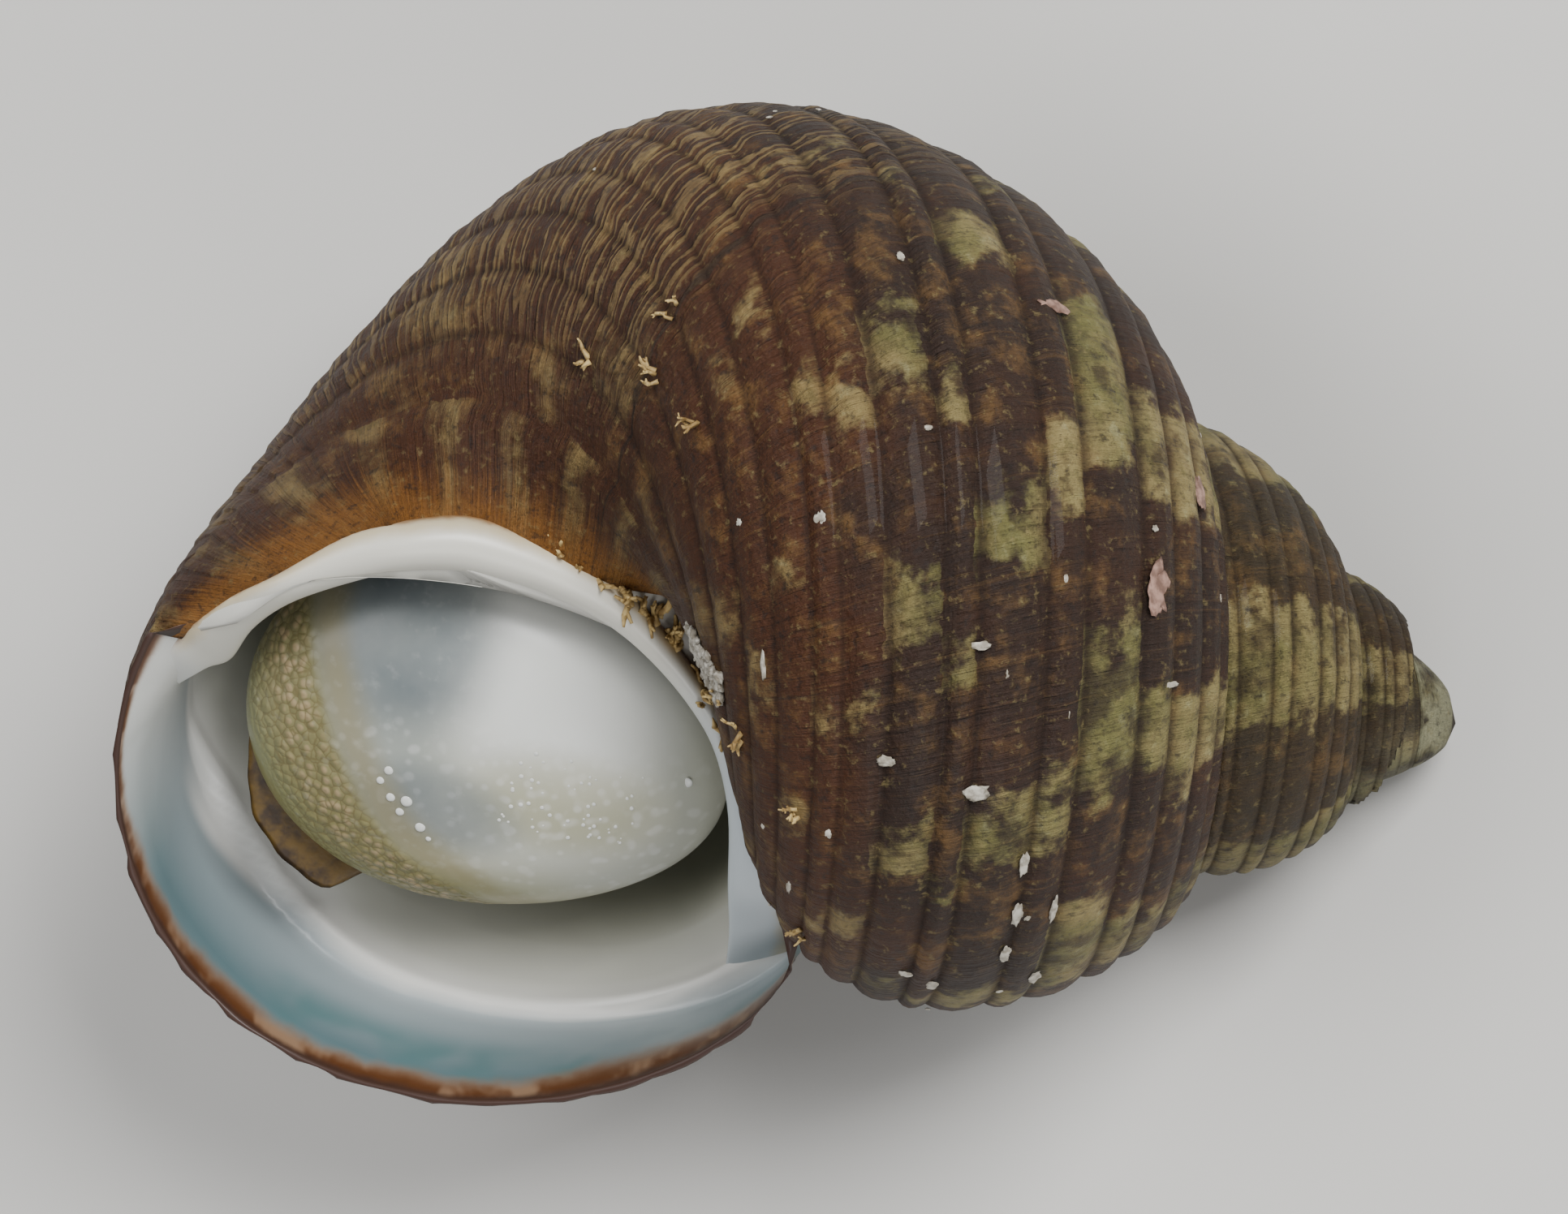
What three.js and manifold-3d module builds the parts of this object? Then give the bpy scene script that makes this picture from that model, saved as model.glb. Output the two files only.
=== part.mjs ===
// A turban shell: a right-handed spiral shell with broad cords, lying on its back with the
// mouth up, and the limy operculum that rests in the mouth. Millimetres, +Z up.
//
// The shell is drawn in its own frame first: the apex at the origin, the axis along +Z from the
// apex to the base, and the growing edge turning from +X towards +Y. Sizes of the section are
// those at the lip, and every earlier section is the same shape, smaller.
import * as THREE from 'three';
import { mergeVertices } from 'three/addons/utils/BufferGeometryUtils.js';
import Module from 'manifold-3d';

const wasm = await Module();
wasm.setup();

const degrees = THREE.MathUtils.degToRad;
const TURN = 2 * Math.PI;
const WELD = 0.01;

// The spiral
const WHORL_GROWTH = 1.92;
const WHORLS = 4;
const STEPS = 36;
const TIP_WEAR = 1.3;
const TIP_ROUND = 0.5;
const MOUTH_ANGLE = degrees(-10.8);
const MOUTH_DROP = 2.1;
const DROP_TURN = degrees(180);
const LIP_PINCH = 0.096;
const PINCH_TURN = degrees(40);

// The egg-shaped section of a whorl, as distance from the axis and distance from the apex
const SECTION_RADIUS = 7.95;
const SECTION_HEIGHT = 27.8;
const SECTION_HALF_WIDTH = 11.8;
const SECTION_HALF_HEIGHT = 11.6;
const SECTION_TILT = degrees(9.9);
const SECTION_EGG = -0.19;

// How far each point of the lip trails the suture, from the suture down to the base
const LIP_LAG = degrees(31.3);
const LIP_LAG_SWEEP = degrees(12.7);
const SLANT_TURN = degrees(120);

// The grooves between the cords, as angles round the section from the suture to the base
const GROOVES = [
  0.12, 0.3, 0.5, 0.71, 0.89, 1.16, 1.32, 1.58, 1.7, 1.92, 2.1, 2.22, 2.4, 2.57, 2.76, 2.95, 3.14,
];
const CORD_HEIGHT = 0.08;
const GROOVE_DEPTH = 0.36;
const CORD_SHOULDER = 0.2;
const BROAD_CORD = 0.19;
const BASE_START = 2;
const BASE_RELIEF = 0.65;
const LIP_RELIEF = 0.45;
const FADE_TURN = degrees(25);

// The groove that each next whorl is laid against, and the one that the last half whorl sinks to
const SUTURE_GROOVE = 1.7;
const MOUTH_GROOVE = 2.22;
const SUTURE_BLEND = 0.45;

// The flat base inside the last cord, in to the axis
const BASE_POINTS = [[5.1, 39.4], [3.2, 39.1], [1.5, 38.9], [0, 38.7]];

// The columella, the pillar on the axis, which leans aside and bends at the front of the mouth
const COLUMELLA = [
  [0, 10], [0.5, 11], [0.8, 22], [0.95, 30], [0.95, 32], [0.85, 34.5], [0.7, 36.4], [0.5, 38.2], [0, 38.9],
];
const COLUMELLA_SIDES = 14;
const COLUMELLA_LEAN = 0.016;
const BEND_START = 30;
const BEND_RATE = 0.027;

// The hollow of the last whorl, and how it widens to the thin lip
const HOLLOW_RADIUS = 9.7;
const HOLLOW_HEIGHT = 29.1;
const HOLLOW_HALF_WIDTH = 7.7;
const HOLLOW_HALF_HEIGHT = 8.9;
const HOLLOW_BACK = degrees(-300);
const HOLLOW_FRONT = degrees(30);
const HOLLOW_STEPS = 15;
const BEVEL_TURN = degrees(24);
const BEVEL_STEPS = 3;
const LIP_THICKNESS = 0.35;
const FRONT_THICKNESS = 1;
const FRONT_START = 2.4;
const LIP_POINTS = 14;
const LIP_FIRST = 0.12;
const INNER_LIP = [[4.4, 36.6], [1.6, 34.4], [0.1, 29], [1.2, 23.4], [3.4, 19.8], [5.9, 19], [8.4, 17.9]];

// The operculum: an egg-shaped dome, its profile as a share of the outline and a height
const OPERCULUM_LENGTH = 14.8;
const OPERCULUM_WIDTH = 11.6;
const OPERCULUM_EGG = 0.16;
const OPERCULUM_PROFILE = [
  [0, -0.9], [0.86, -0.75], [0.98, -0.3], [1, 0.15], [0.93, 0.95], [0.78, 1.75], [0.55, 2.4], [0.28, 2.75], [0, 2.85],
];
const OPERCULUM_SIDES = 28;
const OPERCULUM_PLACE = new THREE.Vector3(5, -6.6, 29.4);
const OPERCULUM_TURN = degrees(59);
const OPERCULUM_LIFT = degrees(14);

// How the shell lies: rolled about its axis, the axis tipped from upright, and the cords rubbed flat underneath
const ROLL = degrees(-93.3);
const TIP = degrees(-55.4);
const RUBBED_DEPTH = 0.2;
const FLOOR_SIZE = 100;

const FLAT = new THREE.Vector2();
const { clamp, lerp } = THREE.MathUtils;
const smooth = (value) => THREE.MathUtils.smoothstep(value, 0, 1);

function lipLag(angle) {
  const share = clamp(angle / Math.PI, 0, 1);
  return LIP_LAG * share + LIP_LAG_SWEEP * share * share;
}

/** A point of the section at the lip's size: 0 at the suture, half a turn at the base. */
function sectionPoint(angle, raise = 0) {
  const across = SECTION_HALF_WIDTH * Math.sin(angle) * (1 + SECTION_EGG * Math.cos(angle));
  const along = -SECTION_HALF_HEIGHT * Math.cos(angle);
  const point = new THREE.Vector2(across, along).rotateAround(FLAT, SECTION_TILT);
  const relief = point.clone().normalize().multiplyScalar(raise);
  return { angle, r: SECTION_RADIUS + point.x, z: SECTION_HEIGHT + point.y, relief, lag: lipLag(angle) };
}

/** The distance from the axis and from the apex of a section point, at a turn of growth before the lip. */
function grown(point, turn) {
  const drop = MOUTH_DROP * smooth(1 + turn / DROP_TURN);
  const pinch = 1 - LIP_PINCH * clamp(1 + turn / PINCH_TURN, 0, 1) ** 2;
  const fade = lerp(1, LIP_RELIEF, smooth(1 + turn / FADE_TURN));
  const relief = point.relief ?? FLAT;
  const r = SECTION_RADIUS + (point.r - SECTION_RADIUS) * pinch + relief.x * fade;
  const z = SECTION_HEIGHT + (point.z - SECTION_HEIGHT) * pinch + relief.y * fade + drop;
  return new THREE.Vector2(r, z).multiplyScalar(WHORL_GROWTH ** (turn / TURN));
}

/** Rounds off what stands nearer the apex than the worn tip. */
function worn(z) {
  return (z + TIP_WEAR + Math.hypot(z - TIP_WEAR, TIP_ROUND)) / 2;
}

function aroundAxis({ x: r, y: z }, turn) {
  const angle = MOUTH_ANGLE + turn;
  return new THREE.Vector3(r * Math.cos(angle), r * Math.sin(angle), worn(z));
}

/** The groove of a whorl against which the next whorl is laid. */
function seamAngle(turn) {
  return lerp(SUTURE_GROOVE, MOUTH_GROOVE, smooth(1 + (turn + TURN) / DROP_TURN));
}

function seamPoint(turn) {
  const point = sectionPoint(seamAngle(turn), -GROOVE_DEPTH);
  return grown(point, turn + point.lag);
}

/** A point of the outside, in the half plane at a turn about the axis. It meets the whorl before at the suture. */
function skinPoint(point, turn) {
  const place = grown(point, turn + point.lag);
  const near = 1 - point.angle / SUTURE_BLEND;
  if (near > 0) {
    const shift = seamPoint(turn - TURN).sub(grown(sectionPoint(0), turn));
    place.addScaledVector(shift, near * near);
  }
  return aroundAxis(place, turn);
}

/** The rows of the skin from the suture to the axis: grooves, the tops of the cords, and the base. */
function skinRows() {
  const rows = [sectionPoint(0)];
  GROOVES.slice(0, -1).forEach((start, index) => {
    const width = GROOVES[index + 1] - start;
    const onBase = start > BASE_START;
    const height = onBase ? BASE_RELIEF : 1;
    const tops = width < BROAD_CORD || onBase ? [0.5] : [CORD_SHOULDER, 1 - CORD_SHOULDER];
    rows.push(sectionPoint(start, -GROOVE_DEPTH * height));
    tops.forEach((share) => rows.push(sectionPoint(start + share * width, CORD_HEIGHT * height)));
  });
  rows.push(sectionPoint(Math.PI));
  const lag = lipLag(Math.PI);
  BASE_POINTS.forEach(([r, z]) => rows.push({ angle: Math.PI, r, z, lag }));
  return rows;
}

/** The grid of points of the outside, wound from the tip to the mouth, with the place of each row in each ring. */
function skinGrid(rows, mouthRow) {
  const rings = Math.round(WHORLS * STEPS);
  const points = [];
  const grid = [];
  const seams = [];
  for (let ring = 0; ring <= rings; ring += 1) {
    const growth = (ring - rings) * TURN / STEPS;
    const slant = smooth(1 + growth / SLANT_TURN);
    const inLast = ring >= rings - STEPS;
    const seam = inLast ? Infinity : seamAngle(growth);
    const places = rows.map((row) => skinPoint(row, growth - row.lag * slant));
    const seamPlace = aroundAxis(seamPoint(growth), growth);
    const line = [];
    rows.forEach((row, number) => {
      if (number === 0 && ring >= STEPS) {
        line.push(seams[ring - STEPS]);
      } else if (row.angle >= seam) {
        seams[ring] ??= points.push(seamPlace) - 1;
        line.push(seams[ring]);
      } else {
        line.push(points.push(places[number]) - 1);
      }
    });
    seams[ring] ??= line[mouthRow];
    grid.push(line);
  }
  return { points, grid };
}

/**
 * The closed outside of the shell. Each whorl before the last ends at its seam, whose points are also
 * the first row of the next whorl. The tip is closed by a fan, and the mouth by a flat that the hollow opens.
 */
function outside() {
  const rows = skinRows();
  const mouthRow = rows.findIndex((row) => row.angle === MOUTH_GROOVE);
  const { points, grid } = skinGrid(rows, mouthRow);
  const last = grid.length - 1;
  const lastStart = last - STEPS;
  const axisRow = rows.length - 1;
  const faces = [];
  const addFace = (a, b, c) => {
    if (a !== b && b !== c && c !== a) {
      faces.push(a, b, c);
    }
  };
  for (let ring = 0; ring < last; ring += 1) {
    const end = ring < lastStart ? mouthRow : axisRow;
    for (let row = 0; row < end; row += 1) {
      addFace(grid[ring][row], grid[ring + 1][row], grid[ring + 1][row + 1]);
      addFace(grid[ring][row], grid[ring + 1][row + 1], grid[ring][row + 1]);
    }
  }

  const tip = points.push(new THREE.Vector3(0, 0, worn(0))) - 1;
  for (let ring = 0; ring < STEPS; ring += 1) {
    addFace(tip, grid[ring + 1][0], grid[ring][0]);
  }
  for (let row = 0; row < axisRow; row += 1) {
    addFace(tip, grid[0][row], grid[0][row + 1]);
  }

  const axis = grid.slice(lastStart, last).map((line) => line[axisRow]).reverse();
  const wall = grid[lastStart].slice(mouthRow + 1, axisRow).reverse();
  const mouth = [...grid[last], ...axis, ...wall];
  const flat = mouth.map((number) => new THREE.Vector2(Math.hypot(points[number].x, points[number].y), points[number].z));
  for (const [a, b, c] of THREE.ShapeUtils.triangulateShape(flat, [])) {
    addFace(mouth[a], mouth[c], mouth[b]);
  }
  return closed(points, faces);
}

function closed(points, faces) {
  const geometry = new THREE.BufferGeometry().setFromPoints(points);
  geometry.setIndex(faces);
  return solid(geometry);
}

/** A closed solid through equal rings of points, with ends cut as the outline is in the section. */
function loft(rings, outline) {
  const count = outline.length;
  const faces = [];
  for (let ring = 0; ring + 1 < rings.length; ring += 1) {
    for (let step = 0; step < count; step += 1) {
      const here = ring * count + step;
      const beside = ring * count + (step + 1) % count;
      faces.push(here, beside + count, beside, here, here + count, beside + count);
    }
  }
  const flat = outline.map((point) => new THREE.Vector2(point.r, point.z));
  const last = (rings.length - 1) * count;
  for (const [a, b, c] of THREE.ShapeUtils.triangulateShape(flat, [])) {
    faces.push(a, b, c, last + a, last + c, last + b);
  }
  return closed(rings.flat(), faces);
}

function solid(geometry) {
  const bare = geometry.clone();
  bare.deleteAttribute('normal');
  bare.deleteAttribute('uv');
  const merged = mergeVertices(bare);
  const vertProperties = new Float32Array(merged.attributes.position.array);
  const triVerts = new Uint32Array(merged.index.array);
  return new wasm.Manifold(new wasm.Mesh({ numProp: 3, vertProperties, triVerts, tolerance: WELD }));
}

function geometryOf(body) {
  const mesh = body.getMesh();
  const geometry = new THREE.BufferGeometry();
  geometry.setAttribute('position', new THREE.BufferAttribute(mesh.vertProperties, mesh.numProp));
  geometry.setIndex(new THREE.BufferAttribute(mesh.triVerts, 1));
  return geometry;
}

function columella() {
  const profile = COLUMELLA.map(([r, z]) => new THREE.Vector2(r, z));
  const geometry = new THREE.LatheGeometry(profile, COLUMELLA_SIDES).rotateX(Math.PI / 2);
  const place = geometry.attributes.position;
  for (let index = 0; index < place.count; index += 1) {
    const height = place.getZ(index);
    const past = Math.max(height - BEND_START, 0);
    place.setX(index, place.getX(index) - COLUMELLA_LEAN * height + BEND_RATE * past * past);
  }
  return solid(geometry);
}

/** The rim of the mouth: just inside the outer lip, then along the inner lip back to the corner. */
function mouthOutline() {
  const outline = [];
  for (let step = 0; step < LIP_POINTS; step += 1) {
    const angle = lerp(LIP_FIRST, Math.PI, step / (LIP_POINTS - 1));
    const towardsFront = smooth((angle - FRONT_START) / (Math.PI - FRONT_START));
    const { r, z, relief, lag } = sectionPoint(angle, -lerp(LIP_THICKNESS, FRONT_THICKNESS, towardsFront));
    outline.push({ r: r + relief.x, z: z + relief.y, lag });
  }
  INNER_LIP.forEach(([r, z], index) => {
    const back = Math.PI * (1 - (index + 1) / (INNER_LIP.length + 1));
    outline.push({ r, z, lag: lipLag(back) });
  });
  return outline;
}

/** The hollow: an oval tube along the spiral that widens to the mouth's rim and runs on past it. */
function hollow() {
  const mouth = mouthOutline();
  const tube = mouth.map(({ r, z }) => {
    const across = (r - HOLLOW_RADIUS) / HOLLOW_HALF_WIDTH;
    const along = (z - HOLLOW_HEIGHT) / HOLLOW_HALF_HEIGHT;
    const reach = Math.hypot(across, along);
    return {
      r: HOLLOW_RADIUS + HOLLOW_HALF_WIDTH * across / reach,
      z: HOLLOW_HEIGHT + HOLLOW_HALF_HEIGHT * along / reach,
    };
  });
  const ring = (turn) => {
    const open = smooth(1 + turn / BEVEL_TURN);
    return mouth.map(({ r, z, lag }, index) => {
      const point = { r: lerp(tube[index].r, r, open), z: lerp(tube[index].z, z, open) };
      return aroundAxis(grown(point, turn), turn - lag);
    });
  };
  const rings = [];
  for (let step = 0; step < HOLLOW_STEPS; step += 1) {
    rings.push(ring(lerp(HOLLOW_BACK, -BEVEL_TURN, step / HOLLOW_STEPS)));
  }
  for (let step = 0; step <= BEVEL_STEPS; step += 1) {
    rings.push(ring(-BEVEL_TURN * (1 - step / BEVEL_STEPS)));
  }
  rings.push(ring(HOLLOW_FRONT));
  return loft(rings, mouth);
}

function operculum() {
  const profile = OPERCULUM_PROFILE.map(([r, z]) => new THREE.Vector2(r, z));
  const geometry = new THREE.LatheGeometry(profile, OPERCULUM_SIDES).rotateX(Math.PI / 2);
  const place = geometry.attributes.position;
  for (let index = 0; index < place.count; index += 1) {
    const along = place.getX(index);
    const narrow = 1 + OPERCULUM_EGG * along;
    place.setX(index, along * OPERCULUM_LENGTH / 2);
    place.setY(index, place.getY(index) * narrow * OPERCULUM_WIDTH / 2);
  }
  return geometry;
}

/** Turns the operculum to face out of the mouth, with its length along the shell's axis. */
function facingMouth() {
  const facing = new THREE.Vector3(Math.cos(OPERCULUM_TURN), Math.sin(OPERCULUM_TURN), Math.tan(OPERCULUM_LIFT));
  facing.normalize();
  const lengthwise = new THREE.Vector3(0, 0, 1).projectOnPlane(facing).normalize();
  const sideways = new THREE.Vector3().crossVectors(facing, lengthwise);
  return new THREE.Matrix4().makeBasis(lengthwise, sideways, facing);
}

/** What lies below the flat on which the shell rests, in the shell's own frame. */
function floorUnder(body, pose) {
  const lowest = new THREE.Box3().setFromBufferAttribute(geometryOf(body).applyMatrix4(pose).attributes.position).min.z;
  const floor = new THREE.BoxGeometry(FLOOR_SIZE, FLOOR_SIZE, FLOOR_SIZE);
  floor.translate(0, 0, lowest + RUBBED_DEPTH - FLOOR_SIZE / 2);
  return solid(floor.applyMatrix4(pose.clone().invert()));
}

const lying = new THREE.Matrix4().makeRotationY(TIP).multiply(new THREE.Matrix4().makeRotationZ(ROLL));
const grownBody = outside().add(columella()).subtract(hollow());
const body = grownBody.subtract(floorUnder(grownBody, lying));
const shell = new THREE.Mesh(
  geometryOf(body),
  new THREE.MeshStandardMaterial({ color: '#4a3328', roughness: 0.55, metalness: 0 }),
);
shell.name = 'shell';

const lid = new THREE.Mesh(
  operculum(),
  new THREE.MeshStandardMaterial({ color: '#a9aca4', roughness: 0.3, metalness: 0 }),
);
lid.name = 'operculum';
lid.setRotationFromMatrix(facingMouth());
lid.position.copy(OPERCULUM_PLACE);

const laid = new THREE.Group();
laid.setRotationFromMatrix(lying);
laid.add(shell, lid);

const group = new THREE.Group();
group.add(laid);
group.updateMatrixWorld(true);
const box = new THREE.Box3().setFromObject(group, true);
const middle = box.getCenter(new THREE.Vector3());
laid.position.set(-middle.x, -middle.y, -box.min.z);

export default group;
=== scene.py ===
"""Looks of a turban shell and its operculum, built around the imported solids.

The shell is drawn in millimetres in its own frame, with the tip at the origin and the axis along +Z
to the base, as it grew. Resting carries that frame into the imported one, in metres.
"""

import logging
import math
import random
from dataclasses import dataclass
from enum import Enum
from typing import Any, Iterable

import bmesh
import bpy
from mathutils import Matrix, Vector, noise


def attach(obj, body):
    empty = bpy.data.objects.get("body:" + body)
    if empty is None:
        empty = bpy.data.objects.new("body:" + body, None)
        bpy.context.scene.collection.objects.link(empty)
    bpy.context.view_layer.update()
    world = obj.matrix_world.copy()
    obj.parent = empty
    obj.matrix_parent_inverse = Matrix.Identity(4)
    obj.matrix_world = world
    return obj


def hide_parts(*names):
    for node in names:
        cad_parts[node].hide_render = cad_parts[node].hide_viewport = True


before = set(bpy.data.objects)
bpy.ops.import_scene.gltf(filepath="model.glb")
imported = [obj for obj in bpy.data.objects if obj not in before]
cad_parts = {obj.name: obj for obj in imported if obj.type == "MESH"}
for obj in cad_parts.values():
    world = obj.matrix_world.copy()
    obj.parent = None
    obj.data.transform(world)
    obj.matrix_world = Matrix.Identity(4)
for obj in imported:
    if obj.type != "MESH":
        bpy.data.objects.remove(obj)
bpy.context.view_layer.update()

log = logging.getLogger("turban_shell")

TURN = math.tau
MM = 0.001
BODY = "root"
GROWTH_MAP = "growth"
RELIEF = "relief"
PLACE_MAP = "place"
BASE_SPAN = 0.1


def clamp(value: float) -> float:
    """Keeps a value between 0 and 1."""
    return min(max(value, 0.0), 1.0)


def smooth(value: float) -> float:
    """Eases from 0 to 1."""
    share = clamp(value)
    return share * share * (3 - 2 * share)


def lerp(start: float, end: float, share: float) -> float:
    """Gives the value at a share of the way from start to end."""
    return start + (end - start) * share


def spline(points: list[tuple[float, ...]], share: float) -> tuple[float, ...]:
    """Follows a smooth curve through points.

    Args:
        points: The points, each with any number of coordinates.
        share: The place along the curve, from 0 to 1.

    Returns:
        The coordinates there.
    """
    spans = len(points) - 1
    along = clamp(share) * spans
    index = min(int(along), spans - 1)
    t = along - index
    before, start, end, after = (points[min(max(index + k, 0), spans)] for k in (-1, 0, 1, 2))
    return tuple(
        0.5 * (2 * b + (c - a) * t + (2 * a - 5 * b + 4 * c - d) * t * t + (3 * b - a - 3 * c + d) * t ** 3)
        for a, b, c, d in zip(before, start, end, after)
    )


def tone(code: str) -> tuple[float, float, float, float]:
    """Gives the linear colour of a six-digit colour code."""
    parts = (int(code[k:k + 2], 16) / 255 for k in (0, 2, 4))
    return (*(c / 12.92 if c <= 0.04045 else ((c + 0.055) / 1.055) ** 2.4 for c in parts), 1.0)


class Wire:
    """A shader socket that takes part in arithmetic."""

    def __init__(self, sheet: "Sheet", socket: bpy.types.NodeSocket) -> None:
        """Keeps the socket and the sheet that it is on."""
        self.sheet = sheet
        self.socket = socket

    def maths(self, operation: str, first: Any, second: Any = 0.0) -> "Wire":
        """Adds a Math node on two values."""
        return self.sheet.node("ShaderNodeMath", {"operation": operation}, {0: first, 1: second})

    def __add__(self, other: Any) -> "Wire":
        """Adds."""
        return self.maths("ADD", self, other)

    __radd__ = __add__

    def __sub__(self, other: Any) -> "Wire":
        """Takes the other away."""
        return self.maths("SUBTRACT", self, other)

    def __rsub__(self, other: Any) -> "Wire":
        """Is taken away from the other."""
        return self.maths("SUBTRACT", other, self)

    def __mul__(self, other: Any) -> "Wire":
        """Multiplies."""
        return self.maths("MULTIPLY", self, other)

    __rmul__ = __mul__

    def __truediv__(self, other: Any) -> "Wire":
        """Divides by the other."""
        return self.maths("DIVIDE", self, other)

    def __abs__(self) -> "Wire":
        """Drops the sign."""
        return self.maths("ABSOLUTE", self)

    def part(self) -> "Wire":
        """Gives what is left of the whole number below."""
        return self.maths("FRACT", self)

    def at_least(self, other: Any) -> "Wire":
        """Gives the larger value."""
        return self.maths("MAXIMUM", self, other)


class Sheet:
    """The nodes of one material."""

    def __init__(self, name: str) -> None:
        """Starts a material with a bare principled shader.

        Args:
            name: The material's name.
        """
        self.material = bpy.data.materials.new(name)
        self.material.use_nodes = True
        self.tree = self.material.node_tree
        self.tree.nodes.clear()
        self.shader = self.tree.nodes.new("ShaderNodeBsdfPrincipled")
        output = self.tree.nodes.new("ShaderNodeOutputMaterial")
        self.tree.links.new(self.shader.outputs[0], output.inputs[0])

    def feed(self, socket: bpy.types.NodeSocket, value: Any) -> None:
        """Links a wire to a socket, or sets a plain value on it.

        Args:
            socket: The socket.
            value: The wire or the plain value.
        """
        if isinstance(value, Wire):
            self.tree.links.new(value.socket, socket)
        else:
            socket.default_value = value

    def node(
        self, kind: str, settings: dict | None = None, inputs: dict | None = None, output: int | str = 0
    ) -> Wire:
        """Adds a node.

        Args:
            kind: The node's type.
            settings: Its own settings, which are set first. A ramp's are given as ramp.
            inputs: The values or wires of its sockets, by name or number.
            output: The socket to give back.

        Returns:
            The wire of that socket.
        """
        made = self.tree.nodes.new(kind)
        for name, value in (settings or {}).items():
            if name == "ramp":
                self.set_ramp(made.color_ramp, *value)
            else:
                setattr(made, name, value)
        for key, value in (inputs or {}).items():
            self.feed(made.inputs[key], value)
        return Wire(self, made.outputs[output])

    @staticmethod
    def set_ramp(ramp: bpy.types.ColorRamp, blend: str, stops: list[tuple[float, tuple]]) -> None:
        """Sets a ramp's stops.

        Args:
            ramp: The ramp.
            blend: How it blends from stop to stop.
            stops: The place and the colour of each stop.
        """
        ramp.interpolation = blend
        while len(ramp.elements) < len(stops):
            ramp.elements.new(1.0)
        for element, (place, colour) in zip(ramp.elements, stops):
            element.position = place
            element.color = colour

    def ramp(self, value: Wire, stops: list[tuple[float, tuple]], blend: str = "LINEAR") -> Wire:
        """Looks a value up in a ramp of colours."""
        return self.node("ShaderNodeValToRGB", {"ramp": (blend, stops)}, {0: value})

    def split(self, vector: Wire) -> tuple[Wire, Wire, Wire]:
        """Splits a vector or a colour.

        Args:
            vector: The vector or the colour.

        Returns:
            Its three parts.
        """
        first = self.node("ShaderNodeSeparateXYZ", None, {0: vector})
        outputs = first.socket.node.outputs
        return first, Wire(self, outputs[1]), Wire(self, outputs[2])

    def vector(self, x: Any, y: Any, z: Any = 0.0) -> Wire:
        """Joins three values in a vector."""
        return self.node("ShaderNodeCombineXYZ", None, {0: x, 1: y, 2: z})

    def step(self, value: Wire, low: float, high: float) -> Wire:
        """Eases from 0 at low to 1 at high."""
        inputs = {"Value": value, "From Min": low, "From Max": high}
        return self.node("ShaderNodeMapRange", {"interpolation_type": "SMOOTHSTEP"}, inputs)

    def mix(self, share: Any, first: Any, second: Any) -> Wire:
        """Mixes two colours."""
        return self.node("ShaderNodeMix", {"data_type": "RGBA"}, {0: share, 6: first, 7: second}, 2)

    def noise(self, place: Wire, scale: float, detail: float = 3.0, rough: float = 0.55) -> Wire:
        """Gives a soft noise from 0 to 1."""
        inputs = {"Vector": place, "Scale": scale, "Detail": detail, "Roughness": rough}
        return self.node("ShaderNodeTexNoise", None, inputs)

    def cells(self, place: Wire, scale: float, feature: str = "F1") -> Wire:
        """Gives the distance in a pattern of cells."""
        inputs = {"Vector": place, "Scale": scale}
        return self.node("ShaderNodeTexVoronoi", {"feature": feature}, inputs, "Distance")

    def surface_map(self, name: str) -> tuple[Wire, Wire]:
        """Gives the two coordinates of a piece's own map."""
        x, y, _ = self.split(self.node("ShaderNodeUVMap", {"uv_map": name}))
        return x, y

    def here(self) -> Wire:
        """Gives the place on the object, in metres."""
        return self.node("ShaderNodeTexCoord", None, None, "Object")

    def attribute(self, name: str) -> Wire:
        """Gives a number kept on the mesh."""
        return self.node("ShaderNodeAttribute", {"attribute_name": name}, None, "Fac")

    def bump(self, height: Wire, depth: float, strength: float = 1.0, under: Wire | None = None) -> Wire:
        """Adds a relief over another one.

        Args:
            height: The relief, from 0 to 1.
            depth: Its height in metres.
            strength: The share of it that shows.
            under: The normal that it lies on.

        Returns:
            The normal of both.
        """
        inputs = {"Height": height, "Distance": depth, "Strength": strength}
        if under is not None:
            inputs["Normal"] = under
        return self.node("ShaderNodeBump", None, inputs)

    def finish(self, **sockets: Any) -> bpy.types.Material:
        """Feeds the shader's sockets.

        Args:
            **sockets: The values or wires of its sockets, named with _ for a space.

        Returns:
            The material.
        """
        for name, value in sockets.items():
            self.feed(self.shader.inputs[name.replace("_", " ")], value)
        return self.material


@dataclass(frozen=True)
class Resting:
    """How the shell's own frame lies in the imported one."""

    roll: float = math.radians(-93.3)
    tip: float = math.radians(-55.4)
    shift: tuple[float, float, float] = (19.902, 0.314, 0.585)

    def matrix(self) -> Matrix:
        """Carries millimetres of the shell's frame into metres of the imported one."""
        turned = Matrix.Rotation(self.tip, 4, "Y") @ Matrix.Rotation(self.roll, 4, "Z")
        return Matrix.Scale(MM, 4) @ Matrix.Translation(Vector(self.shift)) @ turned


RESTING = Resting()
TO_FRAME = RESTING.matrix()


@dataclass(frozen=True)
class Row:
    """One line of the skin that runs along the spiral.

    Attributes:
        angle: Its place round the section, 0 at the suture and half a turn at the base.
        r: Its distance from the axis at the lip.
        z: Its distance from the tip at the lip.
        outward: The direction of its relief in the section.
        lift: Its relief.
        crest: 0 in a groove and 1 on top of a cord.
        lag: How far it trails the suture at the lip.
    """

    angle: float
    r: float
    z: float
    outward: tuple[float, float]
    lift: float
    crest: float
    lag: float


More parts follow.
